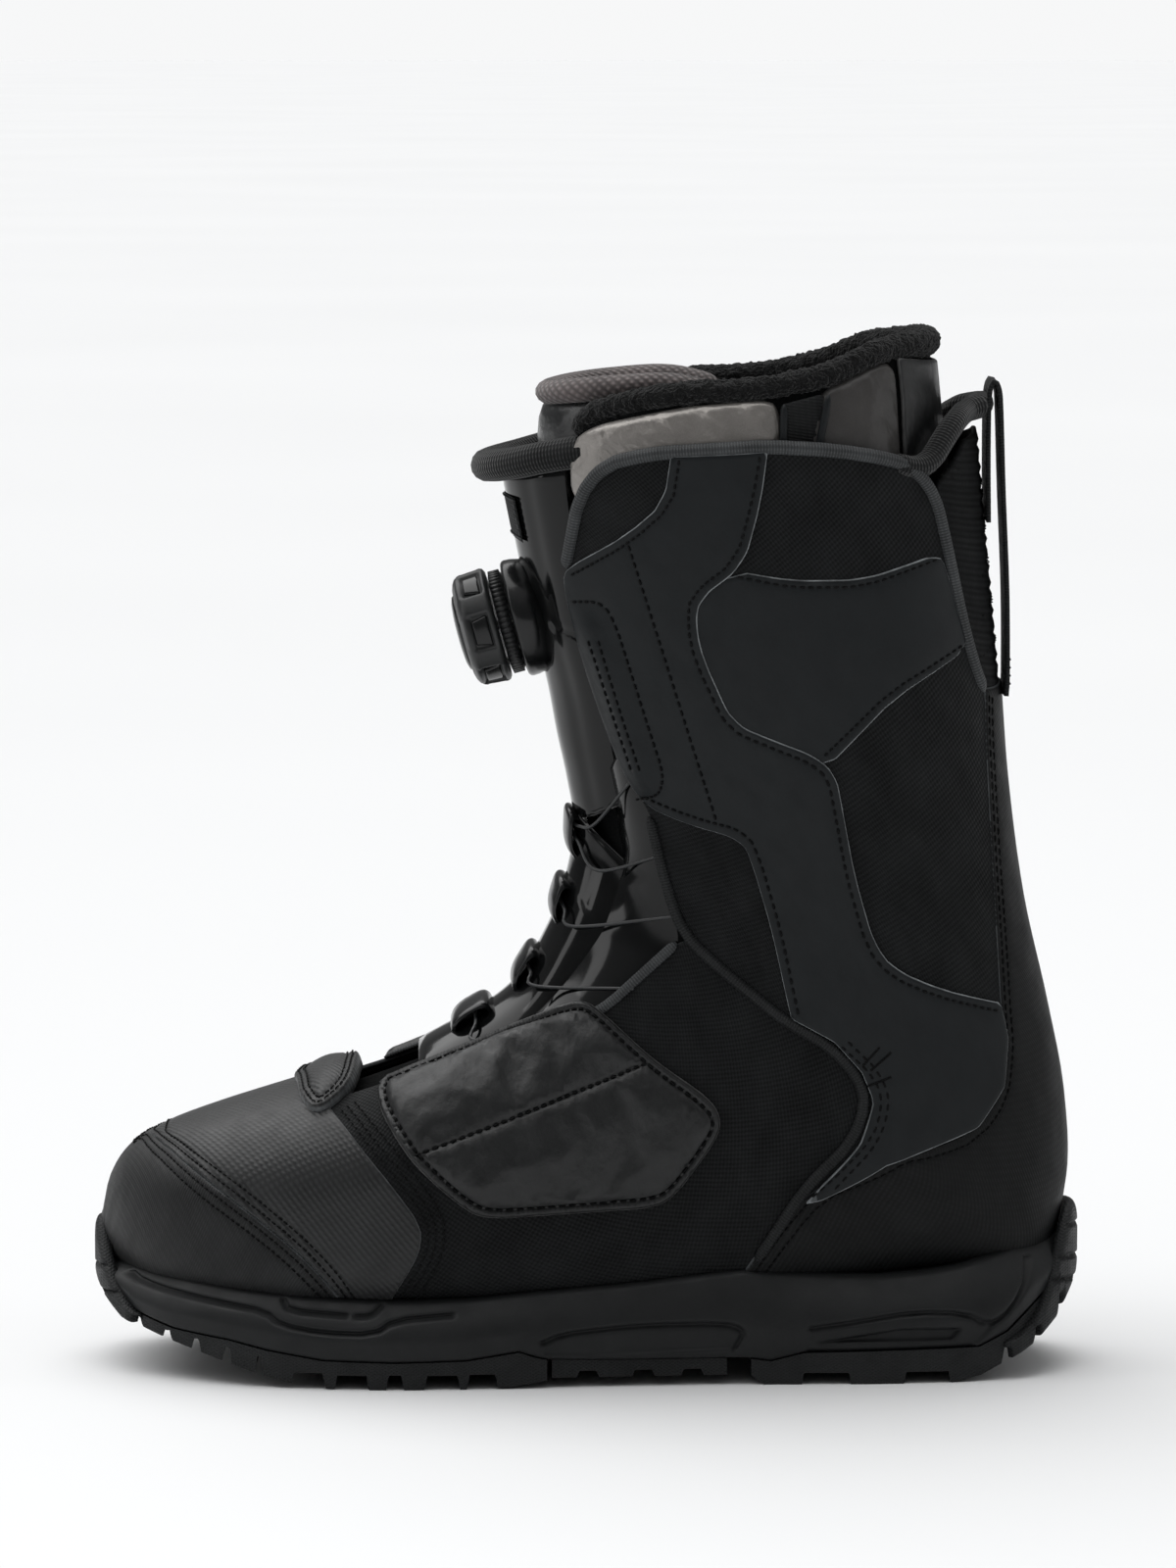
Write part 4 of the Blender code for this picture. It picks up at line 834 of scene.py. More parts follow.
def there_and_back(path):
    """Points in mm up to the middle plane, followed by their mirror."""
    return path + tuple((x, -y, z) for x, y, z in path[-2::-1])


def throat_width():
    line = onto(resample(THROAT, 3), 1)
    order = np.argsort(line[:, 0])
    line = line[order]
    return np.concatenate([[0, line[0, 0] - 0.4], line[:, 0]]), np.concatenate([[0, 0], line[:, 1]])


THROAT_S, THROAT_W = throat_width()


def backing():
    """The dark backing of the whole outer boot, inside the sewn panels."""
    edge = onto(resample(TOP_EDGE + ((104, 276), (108, 276), (111, 281), (115, 288), (119, 291)), 3), 1)
    rows, cols = 190, 150
    f, t = net(0, 1, rows, 0, 1, cols)
    s = 0.2 + f * 18
    for _ in range(6):
        gap = np.interp(s, THROAT_S, THROAT_W)
        w = gap + 0.004 + (2 - 2 * gap - 0.008) * t
        far = np.minimum(w, 2 - w)
        s = 0.2 + f * (np.interp(far, edge[:, 1], edge[:, 0]) - 0.32)
    sw = np.stack([s, np.where(w > 1, w - 2, w)], -1)
    shell("outer_backing", lifted(sw, np.full(s.shape, -1.0)), lifted(sw, np.full(s.shape, -3.0)),
          "lining", "ballistic_fabric", "ankle", replaces=("ankle_flex_panel",))


def toe_and_vamp():
    toe, vamp = seam(TOE_SEAM), seam(VAMP_SEAM)
    sole = seam(((-74, 24), (-90, 24.5), (-105, 25.5), (-120, 26.5), (-131, 27.5), (-141, 30), (-148, 33.5)))
    nose = np.array(((0.25, -0.55), (0.05, 0.0), (0.25, 0.55)))
    cap = np.vstack([mirrored(toe)[::-1], toe[1:], sole, nose, mirrored(sole)[::-1]])
    line = flat(toe)
    inner = [unflat(parallel(line, g)) for g in (-1.7, -4.0)]
    outer = [unflat(parallel(line, g)) for g in (1.9, 3.9)]
    inner, outer = ([p[p[:, 1] < -0.02] for p in rows] for rows in (inner, outer))
    near, past = [round_front(p) for p in inner], [round_front(p) for p in outer]
    panel("toe_cap_cover", cap, 1.0, "toe_fabric", "toe_fabric", "lower", edge=1.0, spacing=2.8,
          grooves=near, replaces=("toe_cap",))
    front = np.vstack([vamp[::-1], onto([(-86, 90)]), mirrored(vamp), mirrored(toe)[::-1], toe[1:]])
    line = flat(vamp)
    rear = [unflat(parallel(line, g)) for g in (2.2, 4.4, 7.0)]
    rear = [r for p in rear for r in (p[2:], mirrored(p[2:]))]
    panel("vamp_cover", front, 0.7, "vamp_fabric", "toe_fabric", "lower", edge=0.7, spacing=2.8,
          grooves=rear + past, replaces=("vamp",), thick=0.8)
    stitches("toe_stitches", near, 1.0, "lower", pitch=2.5, size=1.8, radius=0.27)
    stitches("vamp_stitches", past + rear, 0.7, "lower", pitch=2.5, size=1.8, radius=0.27)


def quarters():
    vamp = seam(VAMP_SEAM)
    ahead = vamp + (-0.25, 0)
    rest = seam(((-64, 90.5), (-45, 98), (-20, 109), (-2, 112), (5, 115), (27, 135), (42, 140), (75, 118), (93, 100),
                 (90, 82), (74, 60), (57, 38), (50, 28.5), (30, 27), (0, 26), (-30, 24.5), (-60, 23.8)), rounds=0)
    for side, word in SIDES:
        line = np.vstack([ahead[::-1], rest]) * (1, -side)
        panel(f"quarter_{word}_cover", line, 0.0, "ballistic_fabric", "ballistic_fabric", "ankle",
              replaces=(f"quarter_{word}",), spacing=3.4)
        edge = seam(((-64, 90.5), (-45, 98), (-20, 109), (-2, 112), (5, 115), (16, 125), (27, 135)), side)
        tape(f"quarter_binding_{word}", edge, 3.2, 1.1, 0.0, "binding", "webbing")


def heel():
    seam_line = seam(HEEL_SEAM)
    sole = seam(((50, 29), (70, 29.5), (90, 30), (105, 31), (122, 33), (134, 35), (140, 36.5)), rounds=0)
    back = np.array(((12.1, 1.0),))
    line = np.vstack([seam_line, onto([(137, 209.5)]), mirrored(seam_line)[::-1], mirrored(sole), back, sole[::-1]])
    edge = flat(seam_line, 1.0)
    sewn = [unflat(parallel(edge, g), 1.0)[1:-1] for g in (-2.0, -4.2)]
    sewn += [mirrored(p) for p in sewn]
    # the heel's darker copy of the toe's twill is painted shade
    panel("heel_cover", line, 1.1, "heel_fabric", "toe_fabric", "ankle", centre=1.0, edge=1.0, spacing=3.0,
          grooves=sewn, replaces=("heel_counter", "backstay"))
    stitches("heel_stitches", sewn, 1.1, "ankle", pitch=2.7, size=1.9, radius=0.28, centre=1.0)


Y_LEFT = (
    (25, 285), (23, 271), (12, 261), (-6, 250), (-6.5, 246), (-4.5, 236), (-0.5, 221), (5.5, 203), (11.5, 187),
    (18, 177.5), (30, 172.5), (47, 168), (50, 161), (56, 140), (62, 112.5),
)
Y_RIGHT = (
    (54, 286.5), (52, 271), (47, 252), (33.5, 241.5), (33, 233), (35, 224), (44, 204), (56, 199), (69, 194),
    (75, 188), (77, 178), (81, 157), (87, 136), (93, 128), (107, 121.5), (125.5, 116),
)
Y_FOOT = ((75, 105.5), (83.5, 96), (87, 87), (83, 74), (72, 62), (66, 55.5))
Y_HEEL = ((71, 56.5), (91, 67), (119, 78), (127, 90), (128, 105))
REAR_OVERLAY = (
    (44, 250.5), (61, 247.5), (83, 247.5), (106, 254.5), (108, 250), (112.5, 234), (115.5, 225), (92, 210.5),
    (72, 190), (60, 194), (44, 200), (31, 225), (30, 240),
)
COVER = (
    (-67, 89), (-51, 95.5), (-30, 104.5), (-2, 118), (5, 113.5), (20, 100), (37, 88.5), (41, 82), (39, 75), (24, 55),
    (-34, 52), (-54, 69.5),
)
COVER_LINE = ((-52, 71.5), (-18, 84), (17, 98.5))


def inset_line(outline, gap):
    """A closed seam line that follows an outline, gap mm inside it."""
    border = resample(flat(outline), 2.0, True)
    inward, _ = inward_of(border)
    ring = border + inward * gap
    ring = ring[away(ring, border, True) > 0.93 * gap]
    return unflat(np.vstack([ring, ring[:1]]))


BARTACKS = (((84, 98.5), (88.5, 103.5)), ((86.5, 97), (92, 102)), ((85.5, 92), (92, 94.5)))
RIDGE = ((2, 231), (6, 222), (15, 195), (17, 188))
RIDGE_SEAMS = (
    ((13, 257), (39, 175)),
    ((-3, 240), (5, 240.5), (9, 234), (24, 187), (22.5, 181), (16, 179.5)),
    ((2.5, 228), (14.5, 190)),
    ((5.2, 228), (17.2, 190)),
)


def cuffs():
    outline = FRONT_EDGE[::-1][:-1] + LOW_EDGE + ((61, 51), (70, 59.5), (90, 70), (118, 81), (126, 92), (128, 105),
               (127, 115), (124, 163), (122, 201)) + GUSSET_EDGE[::-1] + TOP_EDGE[::-1][1:-1]
    for side, word in SIDES:
        panel(f"cuff_{word}_cover", seam(outline, side, 0), 0.5, "ballistic_fabric", "ballistic_fabric", "ankle",
              spacing=3.6, replaces=(f"cuff_{word}",))
        rear = seam(REAR_OVERLAY, side, 1, True)
        sewn = [seam(((46, 248.5), (61, 245.3), (83, 245.2), (104.5, 252.3)), side),
                seam(((112.5, 225.5), (91, 213), (72, 194.5)), side)]
        panel(f"rear_overlay_{word}_cover", rear, 1.25, "synthetic_leather", "synthetic_leather", "cuff",
              edge=0.35, thick=0.8, grooves=sewn, depth=0.2, replaces=(f"rear_overlay_{word}",))
        stitches(f"rear_overlay_stitches_{word}", sewn, 1.25, "cuff", pitch=2.9, size=1.9, radius=0.36)
        left, right = resample(soften(Y_LEFT, 1), 2.5), resample(soften(Y_RIGHT, 1), 2.5)
        whole = np.vstack([left, Y_FOOT, Y_HEEL, right[::-1]])
        y_line = onto(whole, side)
        hems = [
            seam(((27.5, 283), (25.5, 270), (13, 258.5), (-3.5, 248.5)), side),
            seam(((18.5, 180), (31, 175), (48.5, 170.6), (52.5, 162), (58.5, 141), (64, 115)), side),
            seam(((51.5, 284), (49.5, 272), (44.8, 253.8), (31, 243), (30.4, 233), (32.6, 223), (42.3, 202.2),
                  (55.5, 196.6), (68, 191.6), (72.6, 187), (74.6, 177.5), (78.6, 156.4), (84.8, 134.7), (91.5, 125.9),
                  (106, 119.2), (124, 113.8)), side),
        ]
        lines = hems + [seam(line, side) for line in RIDGE_SEAMS]

        def ridge(uv, side=side):
            """The swelling along the front of the overlay."""
            return 2.2 * np.exp(-((away(uv.reshape(-1, 2), flat(seam(RIDGE, side))) / 6.5) ** 2))

        def swell(uv, sw, gap):
            return ridge(uv) * np.minimum(1, gap / 2.5)

        panel(f"cuff_overlay_{word}_cover", y_line, 1.9, "synthetic_leather", "synthetic_leather", "ankle",
              edge=0.35, thick=0.9, spacing=3.0, grooves=lines, depth=0.2, relief=swell,
              replaces=(f"cuff_overlay_{word}", f"ankle_overlay_{word}"))

        def height(s, w):
            return 1.9 + ridge(flat(np.stack([s, w], -1))).reshape(s.shape)

        stitches(f"cuff_overlay_stitches_{word}", lines, height, "ankle", pitch=2.9, size=1.9, radius=0.38)
        leg = [seam(line, side) for line in (
            ((78, 103.5), (87.5, 94.5), (90, 86), (86.5, 75), (74, 62.5), (69, 58.5)),
            ((80, 105), (89.5, 95.5), (92.2, 86), (88.5, 74), (76, 61)),
        )]
        stitches(f"ankle_stitches_{word}", leg, 1.9, "ankle", pitch=2.9, size=1.9, radius=0.36)
        knots = [seam(line, side, 0) for line in BARTACKS]
        stitches(f"ankle_bartack_{word}", knots, 2.0, "lower", pitch=1.1, size=1.0, radius=0.4)
        tape(f"low_binding_{word}", seam(LOW_EDGE, side), 3.4, 1.7, 0.6, "low_binding", "webbing")
        tape(f"top_binding_{word}", seam(((-6.5, 250), (-2.5, 272), (5, 282)) + TOP_EDGE[1:] + GUSSET_EDGE[1:], side),
             4.4, 2.2, 0.0, "binding", "webbing", "cuff")


def instep_covers():
    for side, word in SIDES:
        line = seam(COVER, side, 2, True)
        hem, middle = inset_line(line, 2.7), seam(COVER_LINE, side)
        upper = flat(seam(((-60, 88), (-30, 99), (0, 112), (18, 99)), side))

        def crease(uv, sw, gap, side=side):
            a = np.sin(uv[:, 0] * 0.33 + 0.8 * np.sin(uv[:, 1] * 0.21)) * np.sin(uv[:, 1] * 0.12 + 1.0)
            top = np.exp(-away(uv, upper) / 9)
            return 0.35 * a * top * np.minimum(1, gap / 4)

        panel(f"instep_cover_{word}_pad", line, 2.6, "soft_leather", "soft_leather", "lower", thick=1.7,
              edge=1.2, spacing=2.4, grooves=[hem, middle], depth=0.7, puff=1.5, ramp=5.0, under=1.5, relief=crease,
              cloth=dict(pressure=2.5, grow=0.03, cap=2.0), replaces=(f"instep_cover_{word}",))
        stitches(f"instep_cover_stitches_{word}", [hem, middle], 2.35, "lower", pitch=3.1, size=2.2, radius=0.34)


def lace_tab():
    near = seam(((-91, 89), (-89, 84.5), (-83, 81), (-77, 84.5), (-71.5, 89.5), (-70.5, 94)), -1)
    line = np.vstack([near, mirrored(near)[::-1]])
    hems = [inset_line(line, g) for g in (1.8, 3.6)]
    panel("lace_tab", line, 3.2, "vamp_fabric", "toe_fabric", "lower", thick=2.2, edge=1.6, spacing=2.0,
          grooves=hems, depth=0.5, puff=1.8, ramp=4.0, under=2.5)
    stitches("lace_tab_stitches", hems, 3.3, "lower", pitch=2.5, size=1.8, radius=0.28)


def rear_gusset():
    side_line = seam(((121, 211), (118, 218), (114, 232), (108.5, 257), (105, 272), (106, 276), (111, 281),
                      (115, 288)))
    line = np.vstack([side_line, onto([(121, 291)]), mirrored(side_line)[::-1], onto([(137, 209)])])

    def ribbed(uv, sw, gap):
        return 0.35 * np.sin(2 * math.pi * uv[:, 0] / 3.4) * np.minimum(1, gap / 2)

    panel("rear_gusset_cover", line, 0.2, "gusset_fabric", "knit_padding", "cuff", centre=1.0, spacing=1.5,
          relief=ribbed, replaces=("rear_gusset",))
    dashes = []
    for k in range(5):
        z = 222 + 12 * k
        dashes += [seam(((121 - 0.1 * k, z), (126 - 0.9 * k, z + 4)), side, 0) for side in (-1, 1)]
    stitches("gusset_stitches", dashes, 0.3, "cuff", pitch=3.4, size=1.5, radius=0.22, centre=1.0)
    near = [(92, 282.5), (99, 280.5), (104.5, 282.5), (109, 288.5), (113, 293.5), (117, 296.5)]
    sw = onto(near, -1)
    left = lifted(sw, np.full(len(near), -1.5))
    right = lifted(mirrored(sw), np.full(len(near), -1.5))
    path = np.vstack([left, [(120, -10, 297.5), (121, 0, 298), (120, 10, 297.5)], right[::-1]])
    collar = roll("gusset_collar_roll", path, 3.6, 3.9, "knit", "knit_padding", "cuff", outward=(60, 0, 250),
                  replaces=("gusset_collar",))


def pull_loop():
    line = catmull(((128.7, 208.5), (129.0, 216), (128.7, 241), (127.4, 271), (126.5, 297), (125.9, 303),
                    (124.6, 305.4), (123.3, 303), (122.8, 297), (122.7, 280), (122.9, 262)), 8)
    line = resample(line, 1.4)
    out = -left_of(unit(np.gradient(line, axis=0)))
    y = np.linspace(-12.5, 12.5, 21)
    bow = 0.5 * (1 - (y / 12.5) ** 2)

    def grid(gap):
        p = line[:, None] - out[:, None] * (gap + bow[None, :, None] * 0.4)
        return np.stack([p[..., 0], np.broadcast_to(y, p.shape[:2]), p[..., 1]], -1)

    shell("pull_loop_webbing", grid(0.7), grid(-0.7), "webbing", "webbing", "cuff", replaces=("pull_loop",))
    rows = [np.stack([np.full(9, 129.9), np.linspace(-9, 9, 9), np.full(9, z)], 1) for z in (212, 214.5, 217, 219.5)]
    marks = np.vstack(rows)
    p = marks[:, None] + np.array((0, 1, 0)) * np.linspace(-0.9, 0.9, 4)[None, :, None]
    bars("pull_loop_bartack", p, np.broadcast_to((1.0, 0, 0), p.shape), (0.2, 0.34, 0.34, 0.2), "thread", "webbing",
         "cuff")


# ---------------------------------------------------------------- the tongue
TONGUE_ROUND = 2 / 2.2  # power of the tongue's rounded section


def tongue_place(front_z, turn, offset):
    """Points of the tongue's face: front_z along it, turn in degrees round it, offset mm behind it."""
    front_z, turn, offset = np.broadcast_arrays(*(np.asarray(v, float) for v in (front_z, turn, offset)))
    fx, fz, bx, bz, half, cy = (np.interp(front_z, ROWS[:, 1], ROWS[:, k]) for k in range(6))
    length = np.hypot(bx - fx, bz - fz)
    angle = np.radians(turn)
    reach = np.cos(angle) ** TONGUE_ROUND
    across = np.abs(np.sin(angle)) ** TONGUE_ROUND * np.sign(angle)
    wide, deep = 0.56 * half - offset, 0.16 * length - offset
    along = offset + deep * (1 - reach)
    return np.stack([fx + (bx - fx) / length * along, cy * 0.4 + wide * across, fz + (bz - fz) / length * along], -1)


def tongue_sheet(name, low, high, turn, offset, thick, look, slot, body, rows=70, cols=45, relief=None, push=None,
                 **more):
    f, t = net(0, 1, rows, -1, 1, cols)
    start = np.full(cols, float(low)) if np.isscalar(low) else np.asarray(low)
    z = start[None] + (np.asarray(high, float) - start[None]) * f
    rise = relief(z, t * turn) if relief is not None else 0.0
    edge = np.minimum(1, np.minimum((1 - np.abs(t)) * cols / 5, np.minimum(f, 1 - f) * rows / 4))
    rounded = thick * 0.5 * (1 - np.sqrt(1 - (1 - edge) ** 2))
    outer = tongue_place(z, t * turn, offset - rise + rounded)
    inner = tongue_place(z, t * turn, offset + thick - rounded)
    if push is not None:
        shift = np.stack([push(z), np.zeros_like(z), np.zeros_like(z)], -1)
        outer, inner = outer + shift, inner + shift
    return shell(name, outer, inner, look, slot, body, **more)


HINGE_SLOPE = math.tan(math.radians(21))


def hinge_starts(turn, cols, foot):
    """For each column of the tongue, the front height whose point clears the slope above the hinge."""
    z = np.linspace(150, 250, 401)
    starts = []
    for t in np.linspace(-1, 1, cols):
        p = tongue_place(z, np.full_like(z, t * turn), 0.0)
        above = p[:, 2] > foot + np.maximum(0, p[:, 0] + 4) * HINGE_SLOPE
        starts.append(z[np.argmax(above)])
    return np.array(starts)


def bumps(z, turn):
    """The moulded tongue: a raised spine, with a step at the dial's seat and a flute each side."""
    spine = 0.9 * np.exp(-((turn / 26) ** 4))
    flute = -0.7 * np.exp(-(((np.abs(turn) - 47) / 9) ** 2)) * (z > 150)
    step = -0.8 * np.exp(-(((z - 232 - 0.06 * np.abs(turn)) / 0.9) ** 2)) * (np.abs(turn) > 40)
    return spine + flute + step


PATCH_FACE = -1.72  # mm, where the patch's stitches lie over the tongue


def tongue():
    tongue_sheet("tongue_lower_face", 100, 173, 80, 0.0, 2.2, "patent", "gloss_plastic", "ankle", relief=bumps,
                 replaces=("tongue_base", "tongue_flex", "tongue_ankle"))
    cols = 61
    top = 277.5 + 9 * np.linspace(-1, 1, cols) ** 2  # higher at the sides
    tongue_sheet("tongue_face", hinge_starts(85, cols, 170.5), top, 85, 0.0, 2.4, "patent", "gloss_plastic", "hinge",
                 rows=90, cols=cols, relief=bumps, replaces=("tongue_shell",))
    path = ((24, -37, 281), (14, -36.5, 284.5), (2, -34, 285.4), (-11, -28, 283.4), (-22, -20, 280.8),
            (-29, -10.5, 279.4), (-31.4, 0, 279))
    collar = roll("tongue_collar_roll", there_and_back(path), 5.0, 4.8, "knit", "knit_padding", "tongue",
                  outward=(20, 0, 266),
                  replaces=("tongue_collar",))
    tongue_sheet("tongue_patch", 257, 270.5, 31, -1.5, 0.7, "webbing", "matt_plastic", "tongue", 20, 25,
                 replaces=("tongue_label",))
    across = np.linspace(-29.5, 29.5, 23)
    edge = [(z, t) for z in (258.0, 269.6) for t in across]
    lying = len(edge)
    edge += [(z, t) for t in (-29.5, 29.5) for z in np.linspace(259.5, 268, 5)]
    level, turn = np.array(edge).T
    base = tongue_place(level, turn, PATCH_FACE)
    ahead = unit(tongue_place(level, turn + 2.0, PATCH_FACE) - base)
    up = unit(tongue_place(level + 1.0, turn, PATCH_FACE) - base)
    d = ahead.copy()
    d[lying:] = up[lying:]
    n = unit(np.cross(ahead, up))
    p = base[:, None] + d[:, None] * np.array((-0.8, -0.3, 0.3, 0.8))[None, :, None]
    bars("tongue_patch_stitches", p, np.broadcast_to(n[:, None], p.shape), (0.12, 0.25, 0.25, 0.12), "pale_thread",
         "webbing", "tongue")


def guides():
    """Moulded lace guides: arches on the front of the tongue that the lace passes under."""
    for number, (z, tall, turn, body) in enumerate(
        ((165.5, 7.2, 24, "cuff"), (145, 6.4, 27, "ankle"), (123.5, 6.0, 27, "ankle"), (108.5, 3.8, 27, "lower"))
    ):
        f, t = net(-1, 1, 29, -1, 1, 31)
        round_end = np.sqrt(np.clip(1 - np.abs(t) ** 8, 0, 1))
        round_top = np.sqrt(np.clip(1 - np.abs(f) ** 10, 0, 1))
        arch = 4.2 * np.sqrt(np.clip(1 - np.abs(f) ** 3, 0, 1)) - 0.2
        thick = 0.15 + 0.95 * round_end * (0.4 + 0.6 * round_top)
        level, angle = z + tall * f * (0.8 + 0.2 * round_end), t * turn
        shell(
            f"lace_guide_{number + 1}",
            tongue_place(level, angle, -(arch + thick)), tongue_place(level, angle, -(arch - thick)),
            "gloss_plastic", "matt_plastic", body, replaces=(f"tongue_guide_{number + 1}",),
        )


def cables():
    """The lace: crossing runs between the guides and the edges of the cuff and the quarters."""
    def run(name, points, body, replaces):
        path = resample(catmull(points, 10), 1.5)
        n = unit(np.tile((-1.0, 0.0, 0.0), (len(path), 1)) + 0.01)
        sweep(name, path, n, round_profile(0.55, 0.55, 8), "lace_cable", "lace_cable", body, replaces=replaces)

    def from_form(x, z, side, lift=-0.6):
        return tuple(lifted(onto([(x, z)], side), np.array([float(lift)]))[0])

    def on_tongue(side, *spots):
        """Points over the tongue: its front height, degrees from the middle, mm above it."""
        return [tuple(tongue_place(z, side * turn, -lift)) for z, turn, lift in spots]

    for side, word in SIDES:
        top = ((176, 50, 1.8), (169.5, 28, 1.9), (167.5, 8, 1.9), (165.5, 8, 1.9), (164.5, 28, 1.9), (163, 54, 1.6))
        runs = (
            ("upper", [from_form(12.5, 184, side), *on_tongue(side, *top), from_form(22, 161.5, side)], "cuff"),
            ("ankle", [*on_tongue(side, (145, 4, 1.9), (144.5, 34, 1.9), (144, 52, 1.8)), from_form(26.5, 143, side)],
             "ankle"),
            ("instep", [*on_tongue(side, (124, 4, 1.9), (124.5, 34, 1.9), (124.5, 52, 1.8)),
                        from_form(14, 121, side, 0.4)], "ankle"),
            ("low", [*on_tongue(side, (109, 4, 1.9), (109, 36, 1.9), (108, 56, 2.2)), from_form(-22, 106, side, 1.0)],
             "lower"),
        )
        for place, points, body in runs:
            run(f"cable_{place}_{word}", points, body, (f"cable_{place}",) if side < 0 and place != "low" else ())


def throat_lining():
    """Folded gusset cloth from the tongue's edges to the inside of the quarters and the cuff."""
    for side, word in SIDES:
        z = np.linspace(103, 196, 80)
        inner = tongue_place(z, np.full(80, side * 66.0), np.interp(z, (164, 174), (1.2, 3.4)))
        edge = resample(THROAT[2:12], 1.0)
        line = onto(edge, side)
        level = np.interp(z, (103, 112, 172, 196), (0.016, 0.205, 0.82, 1.0))
        at = np.linspace(0, 1, len(line))
        sw = np.stack([np.interp(level, at, line[:, 0]), np.interp(level, at, line[:, 1])], 1)
        outer = lifted(sw + (0, side * 0.05), np.full(80, -2.4))
        across = np.linspace(0, 1, 14)[None, :, None]
        grid = inner[:, None] * (1 - across) + outer[:, None] * across
        sag = np.sin(across * math.pi)
        grid = grid + sag * np.array((-2.0, side * 3.0, 0.5))
        shell(f"throat_lining_{word}", grid, grid + np.array((0.9, 0, -0.3)), "patent", "ballistic_fabric", "ankle")


# ---------------------------------------------------------------- the liner
def liner_lift(extra):
    """Height of the liner's face over the form: negative, deeper at the top and at the heel."""
    def at(s, w):
        z = np.interp(s, LEVELS, ROWS[:, 1])
        far = np.abs((np.asarray(w) + 1) % 2 - 1)
        front = np.interp(z, (0, 240, 300), (6.0, 6.0, 9.0))
        side = np.interp(z, (0, 240, 310), (4.4, 4.4, 7.5))
        back = np.interp(z, (0, 168, 240, 310), (7, 5.5, 5.0, 12))
        depth = np.where(far < 0.5, front + (side - front) * np.minimum(far / 0.4, 1),
                         side + (back - side) * np.clip((far - 0.6) / 0.35, 0, 1))
        return extra - depth
    return at


LINER_EDGE = ((-10, 287), (-3, 292.5), (12, 297), (30, 300), (53, 301.5), (74, 305), (89, 311), (99, 314), (108, 315),
              (121, 316))


def liner():
    edge = onto(resample(LINER_EDGE, 3), 1)
    rows, cols = 130, 120
    f, t = np.meshgrid(np.linspace(0, 1, rows), np.arange(cols) / cols, indexing="ij")
    w = 2 * t - 1
    far = np.abs(w)
    foot = onto([(-2, 214)], 1)[0, 0]
    opening = edge[0, 1]
    top = np.interp(far, np.concatenate([[opening - 0.03], edge[:, 1]]), np.concatenate([[foot], edge[:, 0]]))
    s = 2.6 + f * (top - 2.6)
    sw = np.stack([s, w], -1)
    outer, inner = liner_lift(0.0)(s, w), liner_lift(-6.0)(s, w)
    # the liner body's near-black lining is partly painted shade where it shows between the tongue and the cuff
    shell("liner_body", lifted(sw, outer), lifted(sw, inner), "lining", "liner_foam", "ankle", closed=True,
          replaces=("liner_foot", "liner_ankle", "liner_cuff"))
    for side, word in SIDES:
        for name, line in (
            ("front", ((-9, 268), (-9.5, 287), (-3, 292), (8, 295), (30, 299.5), (54, 301.5), (58, 300), (64, 268))),
            ("rear", ((68, 268), (66, 290), (71, 303.5), (80, 307), (89, 311), (98, 313.5), (99.5, 300), (100, 268))),
        ):
            # the rear panels take the darker copy of the foam, painted shade
            shade = "liner_foam" if name == "front" else "liner_foam_dark"
            pad = panel(f"liner_panel_{name}_{word}", seam(line, side, 2, True), liner_lift(1.6), shade,
                        "liner_foam", "cuff", thick=1.6, edge=1.6, spacing=2.6, puff=2.6, ramp=7,
                        cloth=dict(pressure=1.5, grow=0.02, cap=1.2))
        strap = seam(((57, 268), (58.5, 300), (73, 303.5), (70, 288), (67, 268)), side, 0)
        panel(f"liner_strap_{word}", strap, liner_lift(2.6), "webbing", "webbing", "cuff", edge=0.6, spacing=2.4,
              replaces=("liner_strap",) if side < 0 else ())
        for number, line in enumerate((((58.5, 268), (59.5, 300.3)), ((67.5, 268), (70.5, 288), (73.5, 303)))):
            tape(f"liner_strap_edge_{number}_{word}", seam(line, side, 0), 2.2, 0.9, -3.6, "synthetic_leather",
                 "webbing", "cuff")
    back = ((101, 268), (101, 300), (99.5, 314))
    back = np.vstack([seam(back, -1, 0), seam(back[::-1], 1, 0)])
    panel("liner_back_strip", back, liner_lift(2.0), "soft_leather", "synthetic_leather", "cuff", centre=1.0,
          edge=0.8, spacing=3.0)
    line = ((-9, 288), (-4, 294.5), (12, 299.5), (30, 302.5), (53, 304), (74, 308), (89, 313.5), (97, 316))
    near = lifted(onto(line, -1), np.array([-11.0, -13.0, -11.5, -10.5, -10.5, -11.0, -12.0, -13.0]))
    path = np.vstack([near, [(101.5, -16, 317.0), (103.5, 0, 317.2), (101.5, 16, 317.0)], (near * (1, -1, 1))[::-1]])
    collar = roll("liner_collar_roll", path, 4.3, 4.8, "fleece", "fleece", "cuff", outward=(45, 0, 270), step=1.6,
                  replaces=("liner_collar",))
    shag(collar)
    tongue_sheet("liner_tongue_band", hinge_starts(80, 45, 171.5), 301, 80, 3.4, 5.0, "patent", "liner_knit", "hinge",
                 rows=60, push=lambda z: np.interp(z, (225, 240, 262, 285, 301), (0, 2, 8, 17, 22)),
                 replaces=("liner_tongue",))
    near = ((41, -24, 300.5), (34, -25.5, 303), (24, -26, 304.8), (9, -24, 304), (-3, -18.5, 302.8),
            (-9.5, -9.5, 301.8), (-11.3, 0, 301.5))
    path = there_and_back(near)
    knit = roll("liner_tongue_knit", path, 4.0, 5.0, "liner_knit", "liner_knit", "tongue", outward=(45, 0, 300),
                step=1.6)
    below = tuple((x, y, z - 15.5) for x, y, z in path[1:-1])
    pad = roll("liner_tongue_pad", below, 13.0, 4.2, "liner_lower", "liner_foam", "tongue", outward=(45, 0, 290),
               step=2.0)


